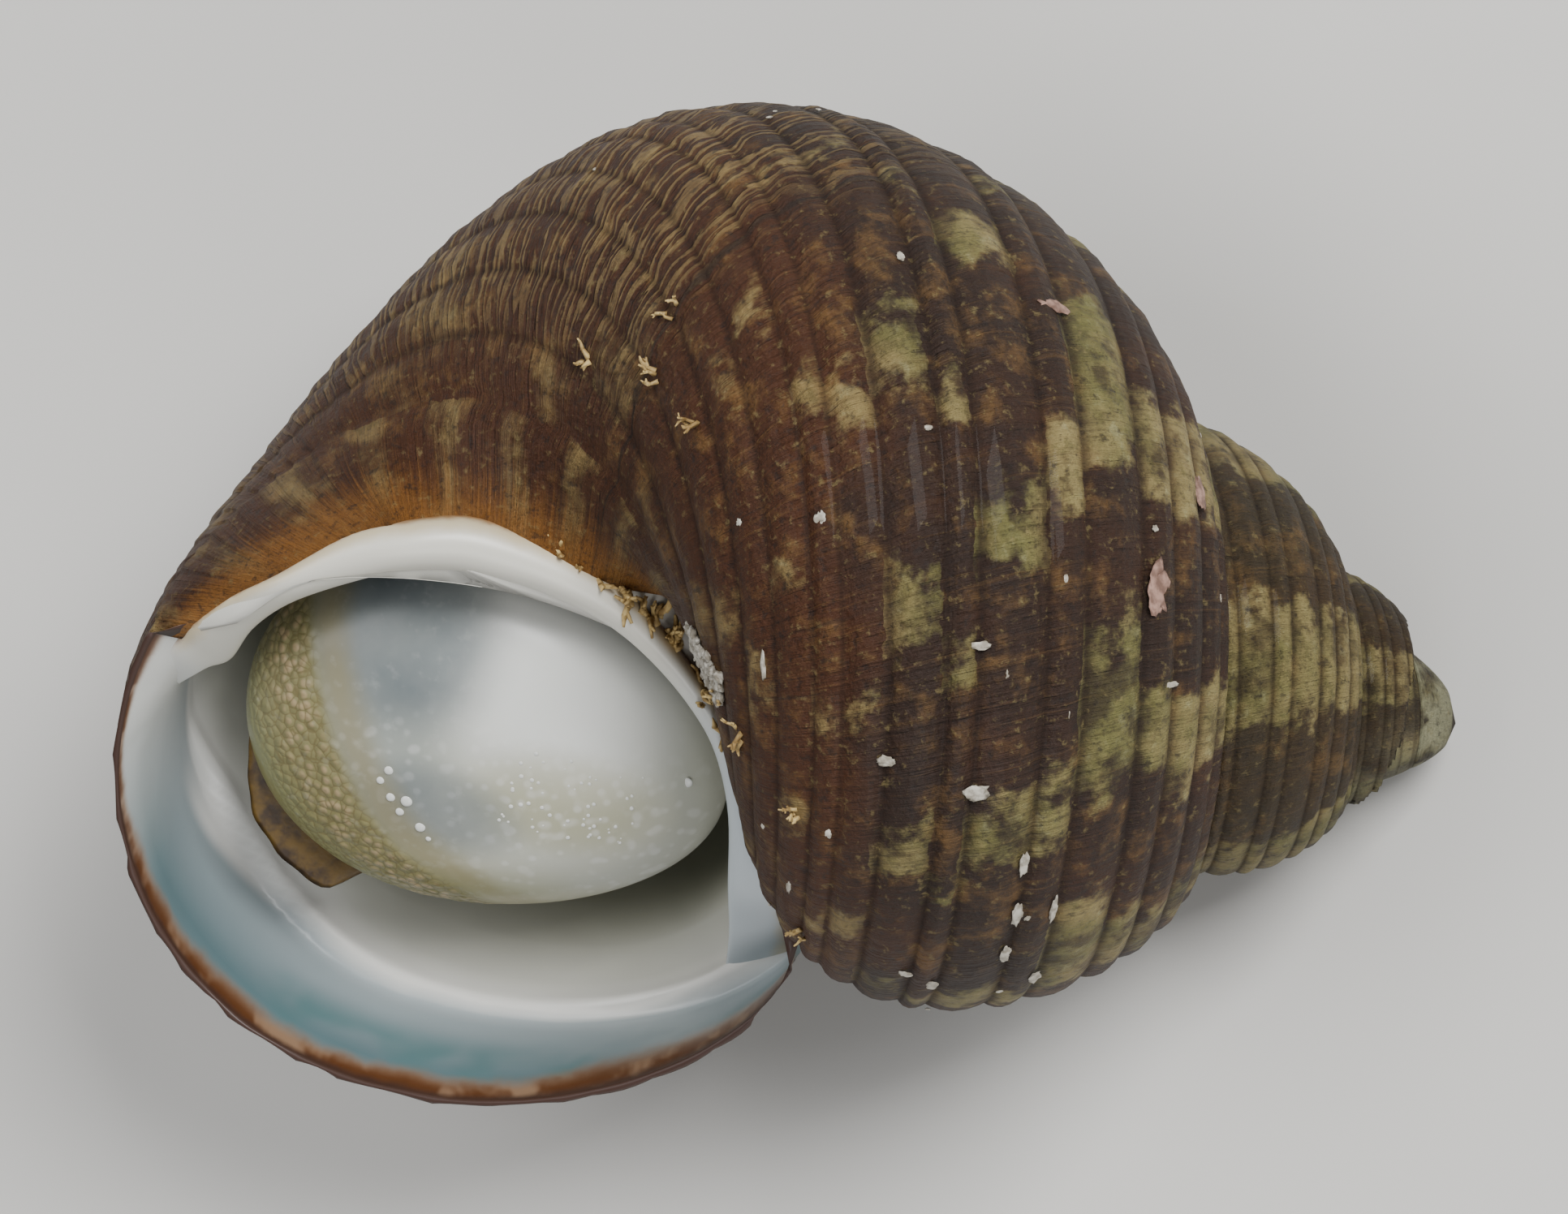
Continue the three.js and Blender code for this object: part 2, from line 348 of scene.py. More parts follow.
@dataclass(frozen=True)
class Growth:
    """The law by which the shell grows: every section is that of the lip, smaller."""

    whorl_growth: float = 1.92
    tip_wear: float = 1.45
    tip_dome: float = 0.5
    tip_round: float = 0.3
    tip_reach: float = 3.0
    mouth_angle: float = math.radians(-10.8)
    mouth_drop: float = 2.1
    drop_turn: float = math.radians(180)
    lip_pinch: float = 0.096
    pinch_turn: float = math.radians(40)
    radius: float = 7.95
    height: float = 27.8
    half_width: float = 11.8
    half_height: float = 11.6
    tilt: float = math.radians(9.9)
    egg: float = -0.19
    lag_rate: float = math.radians(31.3)
    lag_sweep: float = math.radians(12.7)
    slant_turn: float = math.radians(120)
    groove_depth: float = 0.36
    suture_groove: float = 1.7
    mouth_groove: float = 2.22
    suture_blend: float = 0.45
    lip_relief: float = 0.3
    fade_turn: float = math.radians(25)

    def lag(self, angle: float) -> float:
        """How far a point of the lip trails the suture."""
        share = clamp(angle / math.pi)
        return self.lag_rate * share + self.lag_sweep * share * share

    def row(self, angle: float, lift: float = 0.0, crest: float = 1.0) -> Row:
        """Makes the line of the skin at an angle round the section.

        Args:
            angle: The angle round the section.
            lift: The relief there.
            crest: 0 in a groove and 1 on top of a cord.

        Returns:
            The row.
        """
        across = self.half_width * math.sin(angle) * (1 + self.egg * math.cos(angle))
        along = -self.half_height * math.cos(angle)
        x = across * math.cos(self.tilt) - along * math.sin(self.tilt)
        y = across * math.sin(self.tilt) + along * math.cos(self.tilt)
        size = math.hypot(x, y)
        outward = (x / size, y / size)
        return Row(angle, self.radius + x, self.height + y, outward, lift, crest, self.lag(angle))

    def grown(self, row: Row, turn: float, extra: float = 0.0) -> tuple[float, float]:
        """Gives where a row is at a turn of growth.

        Args:
            row: The row.
            turn: The turn of growth, 0 at the lip and less before it.
            extra: Relief added to the row's own.

        Returns:
            The distances from the axis and from the tip.
        """
        drop = self.mouth_drop * smooth(1 + turn / self.drop_turn)
        pinch = 1 - self.lip_pinch * clamp(1 + turn / self.pinch_turn) ** 2
        lift = row.lift * lerp(1, self.lip_relief, smooth(1 + turn / self.fade_turn)) + extra
        size = self.whorl_growth ** (turn / TURN)
        r = self.radius + (row.r - self.radius) * pinch + row.outward[0] * lift
        z = self.height + (row.z - self.height) * pinch + row.outward[1] * lift + drop
        return r * size, z * size

    def worn(self, r: float, z: float) -> float:
        """Rounds off what stands nearer the tip than its worn end."""
        end = self.tip_wear + self.tip_dome * r * r
        return (z + end + math.hypot(z - end, self.tip_round)) / 2 if r < self.tip_reach else z

    def around(self, place: tuple[float, float], turn: float) -> Vector:
        """Turns a place in the section about the axis."""
        angle = self.mouth_angle + turn
        return Vector((place[0] * math.cos(angle), place[0] * math.sin(angle), self.worn(*place)))

    def seam_angle(self, turn: float) -> float:
        """The groove against which the next whorl is laid."""
        share = smooth(1 + (turn + TURN) / self.drop_turn)
        return lerp(self.suture_groove, self.mouth_groove, share)

    def seam(self, turn: float) -> tuple[float, float]:
        """Where the next whorl meets this one."""
        row = self.row(self.seam_angle(turn), -self.groove_depth)
        return self.grown(row, turn + row.lag)

    def skin(self, row: Row, turn: float, extra: float = 0.0) -> Vector:
        """Finds a point of the outside.

        Args:
            row: The row of the skin.
            turn: The turn about the axis.
            extra: Relief added to the row's own.

        Returns:
            The point.
        """
        r, z = self.grown(row, turn + row.lag, extra)
        near = 1 - row.angle / self.suture_blend
        if near > 0:
            seam, edge = self.seam(turn - TURN), self.grown(self.row(0.0), turn)
            r += (seam[0] - edge[0]) * near * near
            z += (seam[1] - edge[1]) * near * near
        return self.around((r, z), turn)

    def spot(self, degrees: float, angle: float) -> Matrix:
        """Gives a place to set a growth on the skin.

        Args:
            degrees: The turn of growth there.
            angle: The angle round the section.

        Returns:
            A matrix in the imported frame, in metres, whose Z axis points out of the skin.
        """
        step = 0.01
        turn = math.radians(degrees)
        row = self.row(angle)
        here = TO_FRAME @ self.skin(row, turn - row.lag)
        ahead = TO_FRAME @ self.skin(row, turn - row.lag + step) - here
        beside = TO_FRAME @ self.skin(self.row(angle + step), turn - row.lag) - here
        out = ahead.cross(beside).normalized()
        along = ahead.normalized()
        turned = Matrix((along, out.cross(along), out)).transposed().to_4x4()
        return Matrix.Translation(here) @ turned


def line_edges(
    bm: bmesh.types.BMesh, line: list[bmesh.types.BMVert], closed: bool = False
) -> list[bmesh.types.BMEdge]:
    """Gives the edges along a line of vertices."""
    ends = line[1:] + line[:1] if closed else line[1:]
    return [bm.edges.get(pair) for pair in zip(line, ends)]


def extrude_line(
    bm: bmesh.types.BMesh, line: list[bmesh.types.BMVert], closed: bool = False
) -> tuple[list[bmesh.types.BMVert], list[bmesh.types.BMFace]]:
    """Extrudes a line of vertices.

    Args:
        bm: The mesh.
        line: The vertices in order.
        closed: Whether the last one joins the first.

    Returns:
        The new vertices in the same order, and the new faces.
    """
    made = bmesh.ops.extrude_edge_only(bm, edges=line_edges(bm, line, closed))["geom"]
    fresh = {item for item in made if isinstance(item, bmesh.types.BMVert)}
    faces = [item for item in made if isinstance(item, bmesh.types.BMFace)]
    following = [next(e.other_vert(v) for e in v.link_edges if e.other_vert(v) in fresh) for v in line]
    return following, faces


def cap(bm: bmesh.types.BMesh, line: list[bmesh.types.BMVert], middle: Vector) -> list[bmesh.types.BMFace]:
    """Closes a loop by a fan about a middle point.

    Args:
        bm: The mesh.
        line: The vertices of the loop in order.
        middle: The middle point.

    Returns:
        The faces of the fan.
    """
    filled = bmesh.ops.edgeloop_fill(bm, edges=line_edges(bm, line, True))["faces"]
    fan = bmesh.ops.poke(bm, faces=filled)
    for vertex in fan["verts"]:
        vertex.co = middle
    return fan["faces"]


def sweep(
    bm: bmesh.types.BMesh, sections: list[tuple[Vector, Vector, Vector]], sides: int, matrix: Matrix
) -> None:
    """Sweeps an oval along a path, with a map along and across it.

    Args:
        bm: The mesh.
        sections: The middle, the half breadth and the half depth at each step.
        sides: The number of sides.
        matrix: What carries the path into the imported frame.
    """
    uv = bm.loops.layers.uv.new(PLACE_MAP)
    loop = bmesh.ops.create_circle(bm, segments=sides, radius=1.0)["verts"]
    start = list(loop)
    marks: dict = {}
    for number, (middle, half, depth) in enumerate(sections):
        if number:
            loop, _ = extrude_line(bm, loop, True)
        for side, vertex in enumerate(loop):
            angle = TURN * side / sides
            vertex.co = matrix @ (middle + half * math.cos(angle) + depth * math.sin(angle))
            marks[vertex] = (number / (len(sections) - 1), math.cos(angle))
    for face in bm.faces:
        for corner in face.loops:
            corner[uv].uv = marks[corner.vert]
    for line, place in ((start, 0.0), (loop, 1.0)):
        for face in cap(bm, line, sum((v.co for v in line), Vector()) / len(line)):
            for corner in face.loops:
                corner[uv].uv = (place, 0.0)
    bmesh.ops.recalc_face_normals(bm, faces=bm.faces)


def add_piece(
    name: str, bm: bmesh.types.BMesh, finishes: Iterable[bpy.types.Material]
) -> bpy.types.Object:
    """Makes an object of a finished mesh.

    Args:
        name: The piece's name.
        bm: Its mesh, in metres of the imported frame.
        finishes: Its materials.

    Returns:
        The object, riding on the part.
    """
    mesh = bpy.data.meshes.new(name)
    for face in bm.faces:
        face.smooth = True
    bm.to_mesh(mesh)
    bm.free()
    for finish in finishes:
        mesh.materials.append(finish)
    piece = bpy.data.objects.new(name, mesh)
    bpy.context.scene.collection.objects.link(piece)
    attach(piece, BODY)
    log.info("%s: %d faces", name, len(mesh.polygons))
    return piece


@dataclass(frozen=True)
class Blocks:
    """The pale blocks along one cord.

    Attributes:
        start: The groove at which the cord starts.
        middle: The turn of growth at the middle of one block, in degrees.
        share: The share of the cord that is pale.
        period: The turn from block to block, in degrees.
    """

    start: float
    middle: float
    share: float
    period: float = 48.0


CORDS = (
    Blocks(0.0, -262, 0.30),
    Blocks(0.12, -262, 0.30),
    Blocks(0.3, -262, 0.33),
    Blocks(0.5, -264, 0.37),
    Blocks(0.71, -260, 0.35, 46),
    Blocks(0.89, -253, 0.53),
    Blocks(1.16, -267, 0.22),
    Blocks(1.32, -268, 0.26, 42),
    Blocks(1.58, -276, 0.15, 34),
    Blocks(1.7, -268.5, 0.28, 35),
    Blocks(1.92, -244, 0.10, 40),
    Blocks(2.1, -245, 0.14, 44),
    Blocks(2.22, -264, 0.12, 40),
    Blocks(2.4, -238, 0.12, 52),
    Blocks(2.57, -226, 0.13, 60),
    Blocks(2.76, -164, 0.2, 62),
    Blocks(2.95, -190, 0.10, 50),
    Blocks(3.14, -106, 0.4, 26),
)


@dataclass(frozen=True)
class SkinFinish:
    """Brown skin with pale blocks along the cords, growth lines and worn places."""

    brown: str = "2a1b12"
    red_brown: str = "43240f"
    cream: str = "8f8052"
    olive: str = "6e6a3b"
    tan: str = "846234"
    sand: str = "8d7446"
    moss: str = "4d4a24"
    lichen: str = "a9a77c"
    frill: str = "968052"
    worn: str = "9a9878"
    groove: str = "1f1510"
    stain: str = "8a5a22"
    period_scale: float = 64.0
    spire_middle: float = -598.0
    spire_period: float = 70.0
    spire_share: float = 0.42
    late_turn: float = -172.0

    def pale(self, sheet: Sheet, degrees: Wire, angle: Wire, wander: Wire, uneven: Wire) -> Wire:
        # dark tone of the real dark streaks, grain specks and growth pause, also used as painted shade in the
        # grooves and frill troughs
        """Gives the mask of the pale blocks.

        Args:
            sheet: The material's nodes.
            degrees: The turn of growth.
            angle: The angle round the section.
            wander: A noise that roughens the blocks' edges.
            uneven: A noise about 0 that makes some blocks larger than others.

        Returns:
            1 on a pale block and 0 beside it.
        """
        stops = []
        for cord in CORDS:
            start = (cord.middle / cord.period) % 1.0
            stops.append((cord.start / TURN, (start, cord.share, cord.period / self.period_scale, 1.0)))
        phase, share, period = sheet.split(sheet.ramp((angle + uneven * 0.1) / TURN, stops, "CONSTANT"))
        late = sheet.step(degrees, self.late_turn - 16, self.late_turn + 6)
        sparse = late * sheet.step(angle, 0.8, 1.2) * sheet.step(angle, 2.8, 2.7)
        moved = degrees + (wander - 0.5) * 22
        body = abs((moved / (period * self.period_scale) - phase + 0.5).part() - 0.5) * 2
        spire = abs(((moved - self.spire_middle) / self.spire_period + 0.5).part() - 0.5) * 2
        soft = 0.14 + 0.3 * sheet.step(angle, 2.5, 2.9)
        on_body = sheet.step((share * (1 - 0.75 * sparse) - body + uneven * 0.8) / soft, -0.6, 1.0)
        on_spire = sheet.step(self.spire_share - spire + uneven, -0.06, 0.12)
        early = sheet.step(degrees, -365, -395)
        return on_body * (1 - early) + on_spire * early

    def make(self) -> bpy.types.Material:
        """Makes the material.

        Returns:
            The material.
        """
        sheet = Sheet("shell_skin")
        turns, halves = sheet.surface_map(GROWTH_MAP)
        degrees, angle = turns * 360, halves * math.pi
        crest = sheet.attribute(RELIEF)
        here = sheet.here()
        wander = sheet.noise(sheet.vector(degrees * 0.05, angle * 1.5), 4.0, 5.0, 0.6)
        patch = sheet.noise(here, 260.0, 4.0, 0.6)
        cloud = sheet.noise(here, 760.0, 4.0, 0.62)
        grain = sheet.noise(here, 3200.0, 4.0, 0.65)
        streaks = sheet.noise(sheet.vector(degrees * 0.9, angle * 1.1), 1.0, 5.0, 0.7)
        warp = sheet.noise(sheet.vector(degrees * 0.14, angle * 1.3), 1.4, 3.0, 0.55)
        frill = (degrees * 0.4 + warp * 5.0).part()
        frill = sheet.step(frill, 0.05, 0.7) * sheet.step(frill, 1.0, 0.86)
        uneven = (patch - 0.52) * 0.7 + (cloud - 0.5) * 0.85
        pale = self.pale(sheet, degrees, angle, wander, uneven)
        late = sheet.step(degrees + (patch - 0.5) * 30, self.late_turn - 6, self.late_turn + 12)
        frilled = late * sheet.step(angle, 3.1, 2.7)
        low = sheet.step(angle, 1.75, 2.3)
        base = sheet.step(halves, 0.985, 1.005)
        early = sheet.step(degrees, -930, -1160)

        dark = sheet.mix(sheet.step(low * 0.5 + patch, 0.4, 0.95), tone(self.brown), tone(self.red_brown))
        dark = sheet.mix(sheet.step(cloud, 0.5, 0.72) * 0.42, dark, tone(self.tan))
        dark = sheet.mix(sheet.step(streaks, 0.54, 0.74) * 0.26, dark, tone(self.tan))
        dark = sheet.mix(sheet.step(streaks, 0.46, 0.3) * 0.5, dark, tone(self.groove))
        dark = sheet.mix(sheet.step(degrees, -370, -440) * 0.1, dark, tone(self.olive))
        light = sheet.mix(sheet.step(patch + low * 0.3, 0.4, 0.66), tone(self.olive), tone(self.cream))
        light = sheet.mix(low * 0.6, light, tone(self.sand))
        moss = sheet.noise(here, 1500.0, 5.0, 0.7)
        light = sheet.mix(sheet.step(moss, 0.5, 0.32) * 0.55, light, tone(self.moss))
        light = sheet.mix(sheet.step(moss, 0.55, 0.72) * 0.4, light, tone(self.lichen))
        light = sheet.mix(sheet.step(cloud, 0.56, 0.34) * 0.75, light, dark)
        light = sheet.mix(sheet.step(streaks, 0.48, 0.3) * 0.45, light, dark)
        raised = 0.35 + 0.65 * sheet.step(crest, 0.0, 0.9)
        fading = 0.95 - 0.2 * sheet.step(angle, 1.3, 1.7) - 0.15 * sheet.step(angle, 2.6, 2.9)
        colour = sheet.mix(pale * raised * fading, dark, light)
        edged = sheet.step(frill, 0.62, 1.0) * cloud * (0.3 + 0.6 * sheet.step(angle, 1.4, 2.1))
        colour = sheet.mix(frilled * edged, colour, tone(self.frill))
        # painted shade: the troughs between the frills darkened
        colour = sheet.mix(frilled * sheet.step(frill, 0.25, 0.0) * 0.32, colour, tone(self.groove))
        stained = base * sheet.step(halves + (streaks - 0.5) * 0.06, 1.035, 1.075)
        colour = sheet.mix(stained * 0.8, colour, tone(self.stain))
        colour = sheet.mix(early * sheet.step(cloud, 0.32, 0.6), colour, tone(self.worn))
        # painted shade: the grooves between the cords darkened, less on the worn early whorls
        colour = sheet.mix(sheet.step(crest, 0.45, 0.0) * (0.4 - 0.35 * early), colour, tone(self.groove))
        colour = sheet.mix(sheet.step(grain, 0.56, 0.74) * 0.42, colour, tone(self.cream))
        colour = sheet.mix(sheet.step(grain, 0.46, 0.3) * 0.65, colour, tone(self.groove))
        pause = abs(degrees - self.late_turn + (warp - 0.5) * 9)
        halted = sheet.step(pause, 1.0, 0.2) * sheet.step(angle, 1.2, 1.7)
        colour = sheet.mix(halted * 0.7, colour, tone(self.groove))

        lines = sheet.noise(sheet.vector(degrees * 1.5, angle * 1.6), 1.0, 4.0, 0.6)
        relief = sheet.bump(lines + streaks * 0.8, 0.0002, 0.9)
        relief = sheet.bump(frill * frilled, 0.0002, 0.8, relief)
        relief = sheet.bump(cloud + grain * 0.5, 0.00032, 0.8, relief)
        rough = 0.5 + 0.2 * sheet.step(crest, 0.5, 0.0) + grain * 0.25
        return sheet.finish(
            Base_Color=colour, Roughness=rough, Normal=relief, Coat_Weight=0.03, Specular_IOR_Level=0.3
        )


@dataclass(frozen=True)
class NacreFinish:
    """Pearly lining of the mouth: white behind the ledge, blue at the flare and brown along the thin edge."""

    depth: float = 30.0
    # the nacre's own blue-grey flare and white ledge, with painted light: the flare stops darkened as a
    # painted reflection of dark surroundings, the bright ledge stop partly a painted highlight, and the last
    # stop painted shade deep in the hollow
    layers: tuple[tuple[float, str], ...] = (
        (0.0, "6a7c80"), (4.0, "5d757a"), (8.0, "7b8a8e"), (13.0, "97a2a5"),
        (14.4, "a8b1b3"), (15.4, "e9e7e0"), (19.0, "c4c3b8"), (30.0, "959482"),
    )
    teal: str = "507577"
    white: str = "ccd0ce"
    shelf: str = "dcdcd6"
    painted_highlight: str = "f6f4ee"
    shade: str = "8a8972"
    inside: str = "d9d7cd"
    inside_shade: str = "a3a290"
    edge: str = "3a2013"
    brown: str = "5c3820"
    orange: str = "9c6e42"

    def make(self) -> bpy.types.Material:
        """Makes the material.

        Returns:
            The material.
        """
        sheet = Sheet("shell_nacre")
        turns, around = sheet.surface_map(GROWTH_MAP)
        angle = around * (2 * (1 + BASE_SPAN) * math.pi)
        here = sheet.here()
        cloud = sheet.noise(here, 170.0, 3.0)
        fine = sheet.noise(here, 1100.0, 4.0, 0.6)
        outer = sheet.step(around, 0.515, 0.5)
        back = turns * -360
        inward = back / (1 + 0.38 * sheet.step(angle, 1.45, 2.3)) + (cloud - 0.5) * 1.2
        stops = [(place / self.depth, tone(code)) for place, code in self.layers]
        colour = sheet.ramp(inward / self.depth, stops)
        flare = sheet.step(back, 2.0, 4.5) * sheet.step(back, 12.0, 7.0)
        colour = sheet.mix(sheet.step(cloud, 0.46, 0.6) * flare * 0.75, colour, tone(self.teal))
        # painted shade: darker deeper inside the hollow
        deep = sheet.step(back, 22, 60)
        colour = sheet.mix(deep * 0.6, colour, tone(self.shade))
        near = sheet.step(back, 26, 16)
        colour = sheet.mix(sheet.step(angle, 2.25, 2.75) * near * 0.85, colour, tone(self.white))
        colour = sheet.mix(sheet.step(angle, 2.6, 3.0) * near, colour, tone(self.shelf))
        # painted highlight: a near-white patch on the ledge below the horn
        painted_highlight_mask = sheet.step(abs(angle - 2.0), 0.4, 0.1) * sheet.step(abs(back - 19.5), 3.5, 1.0)
        colour = sheet.mix(painted_highlight_mask * 0.9, colour, tone(self.painted_highlight))
        right = sheet.step(angle, 1.25, 0.7)
        patchy = sheet.noise(sheet.vector(angle * 3.0, back * 0.05), 2.0, 3.0)
        spread = (0.42 + right * 0.75 + patchy * 0.75) / (1 + 2 * sheet.step(angle, 2.4, 2.9))
        reach = back / spread + (fine - 0.5) * 1.2
        colour = sheet.mix(sheet.step(reach, 5.6, 2.2) * outer * 0.7, colour, tone(self.orange))
        browned = sheet.step(reach, 4.6, 1.6) * sheet.step(patchy, 0.36, 0.52)
        colour = sheet.mix(browned * outer, colour, tone(self.brown))
        edge = sheet.step(reach, 1.9, 0.3) * outer
        colour = sheet.mix(edge, colour, tone(self.edge))
        inner = sheet.mix(deep * 0.5, tone(self.inside), tone(self.inside_shade))
        # partly brown skin, partly painted shade: the gap between the roll and the body darkened to dark
        # brown
        stain_and_shade_beside_roll = sheet.step(back, 1.2, 0.3) * sheet.step(around, 0.74, 0.8)
        inner = sheet.mix(stain_and_shade_beside_roll, inner, tone(self.edge))
        # painted shade: the inner wall above the dome darkened, in the gap between dome and roll
        shade_above_dome = sheet.step(back, 3.0, 9.0) * sheet.step(around, 0.72, 0.64)
        inner = sheet.mix(shade_above_dome * 0.85, inner, tone(self.edge))
        colour = sheet.mix(outer, inner, colour)
        relief = sheet.bump(cloud, 0.0008, 0.3)
        rough = 0.3 + edge * 0.35
        return sheet.finish(
            Base_Color=colour, Roughness=rough, Normal=relief, Coat_Weight=0.25, Coat_Roughness=0.25
        )


@dataclass(frozen=True)
class CallusFinish:
    """White enamel of the inner lip, stained along its outer edge."""

    white: str = "dcd9cc"
    blue: str = "c3cbce"
    cream: str = "cdbb93"
    stain: str = "8a5a26"
    front: str = "dcdcd6"

    def make(self) -> bpy.types.Material:
        """Makes the material.

        Returns:
            The material.
        """
        sheet = Sheet("inner_lip")
        along, across = sheet.surface_map(PLACE_MAP)
        here = sheet.here()
        cloud = sheet.noise(here, 500.0, 3.0)
        fine = sheet.noise(here, 1800.0, 4.0)
        colour = sheet.mix(sheet.step(along, 0.66, 0.82), tone(self.white), tone(self.blue))
        edge = across + (cloud - 0.5) * 0.35 + (fine - 0.5) * 0.3
        colour = sheet.mix(sheet.step(edge, 0.1, 0.75) * 0.8, colour, tone(self.cream))
        colour = sheet.mix(sheet.step(edge, 0.72, 1.0) * 0.85, colour, tone(self.stain))
        colour = sheet.mix(sheet.step(along, 0.14, 0.03), colour, tone(self.front))
        return sheet.finish(Base_Color=colour, Roughness=0.36, Coat_Weight=0.15, Coat_Roughness=0.3)


@dataclass(frozen=True)
class PebbledBand:
    """The bowed band across the dome's broad end, in the dome's coordinates from -1 to 1."""

    way: tuple[float, float] = (0.738, 0.675)
    start: float = 0.42
    bow: float = 0.2
    bow_middle: float = 0.2
    near_edge: tuple[float, float] = (0.06, 0.16)
    far_edge: tuple[float, float] = (0.56, 0.44)

    def reach(self, x: Any, y: Any) -> Any:
        """Measures a place against the band.

        Args:
            x: The place along the dome, a number or a wire.
            y: The place across it.

        Returns:
            How far the place lies inside the band.
        """
        along, across = self.way
        slope = y * along - x * across - self.bow_middle
        return x * along + y * across + self.bow * slope * slope - self.start


BAND = PebbledBand()


@dataclass(frozen=True)
class OperculumFinish:
    """Porcelain dome, clear grey and white in the middle, the white partly a painted highlight, and olive at
    its broad end.
    """

    clear: str = "bfc0b2"
    pearl_and_highlight: str = "dfe0da"
    grey: str = "8f9692"
    dark: str = "5d676c"
    olive: str = "7d7648"
    green: str = "8b8a5c"
    lime: str = "a29d70"
    tan: str = "ab9570"
    brown: str = "8c8052"
    joint: str = "5e4a22"
    speck: str = "eeeeea"
    dust: str = "eeeee8"

    @staticmethod
    def spot(sheet: Sheet, x: Wire, y: Wire, middle: tuple[float, float], reach: tuple[float, float]) -> Wire:
        """Gives a soft round spot, 1 in its middle."""
        far, high = (x - middle[0]) / reach[0], (y - middle[1]) / reach[1]
        return sheet.step(far * far + high * high, 1.0, 0.0)

    def make(self) -> bpy.types.Material:
        """Makes the material.

        Returns:
            The material.
        """
        sheet = Sheet("operculum_dome")
        x, y = sheet.surface_map(PLACE_MAP)
        here = sheet.here()
        cloud = sheet.noise(here, 320.0, 4.0, 0.6)
        fine = sheet.noise(here, 2200.0, 3.0)
        cobbles = sheet.cells(here, 3100.0)
        net = sheet.cells(here, 3100.0, "DISTANCE_TO_EDGE")
        scales = sheet.cells(here, 2300.0, "SMOOTH_F1")
        band = BAND.reach(x, y) + (cloud - 0.5) * 0.14

        # partly the dome's own pale tone, partly a painted highlight: a broad soft white patch
        pearl_and_highlight_spot = self.spot(sheet, x, y, (-0.2, -0.7), (0.75, 0.8))
        colour = sheet.mix(pearl_and_highlight_spot, tone(self.clear), tone(self.pearl_and_highlight))
        colour = sheet.mix(sheet.step(x, -0.02, 0.3) * 0.7, colour, tone(self.grey))
        limy = self.spot(sheet, x, y, (-0.4, 0.0), (0.5, 0.4))
        colour = sheet.mix(limy * 0.55, colour, tone(self.lime))
        scaly = sheet.step(scales, 0.4, 0.15) * sheet.step(y, -0.6, 0.1)
        colour = sheet.mix(scaly * 0.3, colour, tone(self.speck))
        shade = self.spot(sheet, x, y, (0.52, -0.6), (0.62, 0.6))
        shade = shade.at_least(self.spot(sheet, x, y, (0.1, 0.24), (0.42, 0.36)) * 0.85)
        colour = sheet.mix(shade * (0.35 + cloud * 0.9), colour, tone(self.dark))
        lower = sheet.step(y + x * 0.25 + (cloud - 0.5) * 0.2, 0.3, 0.8)
        colour = sheet.mix(lower * 0.85, colour, tone(self.lime))
        arc = sheet.step(band, -0.17, 0.0) * sheet.step(band, 0.14, 0.02)
        colour = sheet.mix(arc * 0.6, colour, tone(self.brown))
        rim = sheet.step(band, 0.02, 0.14)
        leaf = sheet.mix(sheet.step(band, 0.3, 0.55), tone(self.olive), tone(self.green))
        colour = sheet.mix(rim * 0.94, colour, leaf)
        pebbled = sheet.step(band, *BAND.near_edge) * sheet.step(band, *BAND.far_edge)
        sandy = sheet.step(band, 0.1, 0.2) * sheet.step(band, 0.4, 0.26)
        sanded = sandy * sheet.step(cobbles, 0.55, 0.25) * (0.4 + cloud * 0.8)
        colour = sheet.mix(sanded, colour, tone(self.tan))
        colour = sheet.mix(pebbled * sheet.step(net, 0.1, 0.01) * 0.4, colour, tone(self.joint))
        colour = sheet.mix(sheet.step(fine, 0.55, 0.75) * 0.08, colour, tone(self.dust))
        relief = sheet.bump((1 - cobbles) * pebbled, 0.00012, 0.7)
        rough = 0.34 + pebbled * 0.15
        return sheet.finish(
            Base_Color=colour, Roughness=rough, Normal=relief, Coat_Weight=0.25, Coat_Roughness=0.25
        )


@dataclass(frozen=True)
class PlainFinish:
    """One tone, mottled, for the small growths and the floor."""

    name: str
    light: str
    dark: str
    scale: float = 2500.0
    roughness: float = 0.7

    def make(self) -> bpy.types.Material:
        """Makes the material.

        Returns:
            The material.
        """
        sheet = Sheet(self.name)
        grain = sheet.noise(sheet.here(), self.scale, 3.0)
        colour = sheet.mix(sheet.step(grain, 0.35, 0.65), tone(self.dark), tone(self.light))
        relief = sheet.bump(grain, 0.0001, 0.5)
        return sheet.finish(Base_Color=colour, Roughness=self.roughness, Normal=relief)


@dataclass(frozen=True)
class Station:
    """A place along the inner lip: its middle, half its breadth as seen, and half its depth."""

    middle: tuple[float, float, float]
    half: tuple[float, float, float]
    depth: float


